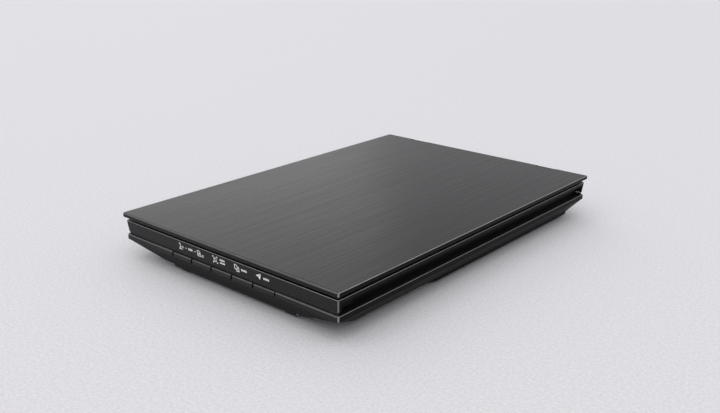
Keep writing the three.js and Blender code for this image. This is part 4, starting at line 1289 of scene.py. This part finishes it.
def make_main_board():
    low, high = box_mm("main_board")
    x = (low.x + high.x) / 2
    y = (low.y + high.y) / 2
    top = low.z + 1.6
    slab = block(low, (high.x, high.y, top))
    holes = []
    for u in (-23, 23):
        for v in (-26, 26):
            holes.append(("cut", turned([(1.4, 0), (1.4, 20)], (x + u, y + v, 0), segments=24)))
    piece("main_board_plate", carve(slab, holes), "root", "circuit_board", ["main_board"])
    chips = [
        chamfered((x - 5, y - 1, top + 0.1), (x + 9, y + 13, top + 1.2), 0.2),
        chamfered((x - 20, y - 8, top + 0.05), (x - 12, y - 3, top + 0.9), 0.15),
        chamfered((x + 13, y - 8, top + 0.05), (x + 19, y - 4, top + 0.9), 0.15),
        chamfered((x - 18, y + 17, top), (x - 9, y + 25, top + 2.4), 0.5),
    ]
    piece("main_board_chips", joined(chips), "root", "switch_plastic")
    leads = []
    for i in range(22):
        along = -4.6 + i * 0.62
        leads.append(block((x + along, y - 1.9, top), (x + along + 0.3, y - 0.9, top + 0.35)))
        leads.append(block((x + along, y + 12.9, top), (x + along + 0.3, y + 13.9, top + 0.35)))
        leads.append(block((x - 5.9, y + along + 4, top), (x - 4.9, y + along + 4.3, top + 0.35)))
        leads.append(block((x + 8.9, y + along + 4, top), (x + 9.9, y + along + 4.3, top + 0.35)))
    for i in range(4):
        leads.append(block((x - 19.2 + i * 1.8, y - 8.9, top), (x - 18.7 + i * 1.8, y - 8, top + 0.3)))
        leads.append(block((x - 19.2 + i * 1.8, y - 3, top), (x - 18.7 + i * 1.8, y - 2.1, top + 0.3)))
    for i in range(12):
        leads.append(block((x + 11.2 + i, y - 24.8, top), (x + 11.6 + i, y - 24.0, top + 0.3)))
    can = [(r, top + z) for r, z in CAN_PROFILE]
    leads.append(turned(can, (x - 12, y - 22, 0), segments=32))
    leads.append(chamfered((x + 13, y + 4, top), (x + 23, y + 8, top + 2.0), 0.4))
    piece("main_board_metal", joined(leads), "root", "plated_metal")
    small = []
    for i, (u, v) in enumerate(SMALL_PARTS):
        long, wide = (1.6, 0.8) if i % 2 else (0.8, 1.6)
        small.append(chamfered((x + u, y + v, top), (x + u + long, y + v + wide, top + 0.45), 0.08))
    small.append(chamfered((x + 10, y - 24, top), (x + 25, y - 19, top + 0.1), 0.05))
    piece("main_board_passives", joined(small), "root", "nylon")


def make_usb_socket():
    """A folded metal shell round a tongue with contacts; it opens to the left."""
    low, high = box_mm("usb_socket")
    middle = (low + high) / 2
    wide = (high.y - low.y) / 2
    tall = (high.z - low.z) / 2

    def ring(inset, x):
        y = wide - inset
        z = tall - inset
        plan = rounded([(y, -z), (y, z), (-y, z), (-y, -z)], min(1.2, z * 0.7), 7)
        return [Vector((x, middle.y + p.x, middle.z + p.y)) for p in plan]

    rings = [
        ring(0.35, high.x - 1.8),
        ring(0.35, low.x + 0.3),
        ring(0.2, low.x),
        ring(0.08, low.x),
        ring(0, low.x + 0.15),
        ring(0, high.x - 0.2),
        ring(0.2, high.x),
    ]
    piece("usb_shell", loft(rings), "root", "plated_metal", ["usb_socket"], smooth=35)
    tongue_low = (low.x + 0.9, middle.y - 2.8, middle.z - 0.4)
    tongue_high = (high.x - 1, middle.y + 2.8, middle.z + 0.4)
    piece("usb_tongue", chamfered(tongue_low, tongue_high, 0.1), "root", "switch_plastic")
    contacts = []
    for i in range(5):
        y = middle.y - 2.1 + i * 0.95
        contacts.append(block((low.x + 1.1, y, middle.z + 0.3), (high.x - 1.5, y + 0.4, middle.z + 0.5)))
    piece("usb_contacts", joined(contacts), "root", "brass")


# ---- CAD nodes whose shape is right ------------------------------------------------------------
EDGE_WIDTHS = {
    "lid_inner_panel": 0.3,
    "carriage_frame": 0.25,
    "cis_housing": 0.3,
    "cis_lens_array": 0.1,
    "cis_sensor_board": 0.08,
    "sensor_flat_cable": 0.03,
    "main_board": 0.1,
    "button_board": 0.1,
    "drive_rack": 0.08,
}


def dress_cad_nodes():
    """Each CAD node that still shows gets its finish, softened edges and smooth shading."""
    for row in frame["record"]["subparts"]:
        node = bpy.data.objects[row["node"]]
        node.data.materials.clear()
        node.data.materials.append(MATERIALS[row["material_slot"]])
        node.visible_shadow = row["material_slot"] != "platen_glass"
        if node.hide_render:
            continue
        flat = node.modifiers.new("flat_faces", "DECIMATE")
        flat.decimate_type = "DISSOLVE"
        flat.angle_limit = math.radians(0.5)
        soft = node.modifiers.new("soft_edges", "BEVEL")
        soft.width = EDGE_WIDTHS.get(row["node"], 0.15) * MM
        soft.segments = 2
        soft.limit_method = "ANGLE"
        soft.angle_limit = math.radians(40)
        soft.use_clamp_overlap = True
        for face in node.data.polygons:
            face.use_smooth = True
        node.data.set_sharp_from_angle(angle=math.radians(40))
        even = node.modifiers.new("even_shading", "WEIGHTED_NORMAL")
        even.keep_sharp = True


make_pad()
make_glass()
make_drive()
make_motor()
make_main_board()
make_usb_socket()
dress_cad_nodes()


# ---- Camera, floor and light -------------------------------------------------------------------
CAMERA_AZIMUTH = math.radians(40.6136)
CAMERA_ELEVATION = math.radians(19.0391)
CAMERA_ROLL = math.radians(0.2609)
CAMERA_DISTANCE = 786.594  # millimetres, as are the shift and the lens
CAMERA_SHIFT = (10.3651, 12.8155)
CAMERA_LENS = 42.683
FLOOR_DARK = "dcdadd"
FLOOR_LIGHT = "efedf0"
WORLD_LIGHT = 0.68


def make_camera():
    """The camera looks at the middle of the lid's top, a little to the side of it."""
    a, e, roll = CAMERA_AZIMUTH, CAMERA_ELEVATION, CAMERA_ROLL
    back = Vector((math.sin(a) * math.cos(e), -math.cos(a) * math.cos(e), math.sin(e)))
    level = Vector((math.cos(a), math.sin(a), 0))
    upright = back.cross(level)
    right = math.cos(roll) * level + math.sin(roll) * upright
    up = math.cos(roll) * upright - math.sin(roll) * level
    target = Vector((0, 0, LID_HIGH.z))
    place = target + CAMERA_DISTANCE * back - CAMERA_SHIFT[0] * right - CAMERA_SHIFT[1] * up
    data = bpy.data.cameras.new("camera")
    data.sensor_width = 36
    data.lens = CAMERA_LENS
    data.clip_start = 0.01
    data.clip_end = 60
    camera = bpy.data.objects.new("camera", data)
    turn = Matrix((right, up, back)).transposed().to_4x4()
    camera.matrix_world = Matrix.Translation(place * MM) @ turn
    bpy.context.scene.collection.objects.link(camera)
    bpy.context.scene.camera = camera


def make_floor():
    f = Finish("floor_paint")
    speckle = f.noise(2.2, detail=5, roughness=0.7)
    colour = f.mix(f.spread(speckle, 0, 1, 0.35, 0.65), srgb(FLOOR_DARK), srgb(FLOOR_LIGHT))
    material = f.set(colour, 0.75, f.bump(speckle, 0.15, 0.1), Specular_IOR_Level=0.25)
    plan = rectangle(9000, -9000, 9000, 500)
    floor = as_object(loft([at_height(plan, -20), at_height(plan, 0)]), "floor")
    floor.data.transform(Matrix.Scale(MM, 4))
    floor.data.materials.append(material)


def distant_light(name, towards, power, spread):
    """A broad even light from the direction of towards; spread is its width in degrees."""
    data = bpy.data.lights.new(name, "SUN")
    data.energy = power
    data.angle = math.radians(spread)
    light = bpy.data.objects.new(name, data)
    light.rotation_mode = "QUATERNION"
    light.rotation_quaternion = Vector(towards).to_track_quat("Z", "Y")
    bpy.context.scene.collection.objects.link(light)


def make_world():
    """Pale grey all round, which the camera and clear or shiny surfaces see as the floor's colour."""
    world = bpy.data.worlds.new("studio")
    world.use_nodes = True
    tree = world.node_tree
    path = tree.nodes.new("ShaderNodeLightPath")
    seen_directly = path.outputs["Is Camera Ray"]
    for kind in ("Is Transmission Ray", "Is Glossy Ray"):
        either = tree.nodes.new("ShaderNodeMath")
        either.operation = "MAXIMUM"
        tree.links.new(seen_directly, either.inputs[0])
        tree.links.new(path.outputs[kind], either.inputs[1])
        seen_directly = either.outputs["Value"]
    blend = tree.nodes.new("ShaderNodeMixShader")
    tree.links.new(seen_directly, blend.inputs["Fac"])
    lit = tree.nodes["Background"]
    seen = tree.nodes.new("ShaderNodeBackground")
    for node, colour, strength, socket in ((lit, "e4e5e8", WORLD_LIGHT, 1), (seen, "e0dee1", 1.0, 2)):
        node.inputs["Color"].default_value = srgb(colour)
        node.inputs["Strength"].default_value = strength
        tree.links.new(node.outputs["Background"], blend.inputs[socket])
    tree.links.new(blend.outputs["Shader"], tree.nodes["World Output"].inputs["Surface"])
    bpy.context.scene.world = world


make_camera()
make_floor()
make_world()
distant_light("key_light", (-0.95, 0.44, 0.42), 0.36, 50)
distant_light("fill_light", (0.2, -0.6, 1.2), 1.28, 80)

scene = bpy.context.scene
scene.view_settings.view_transform = "Standard"
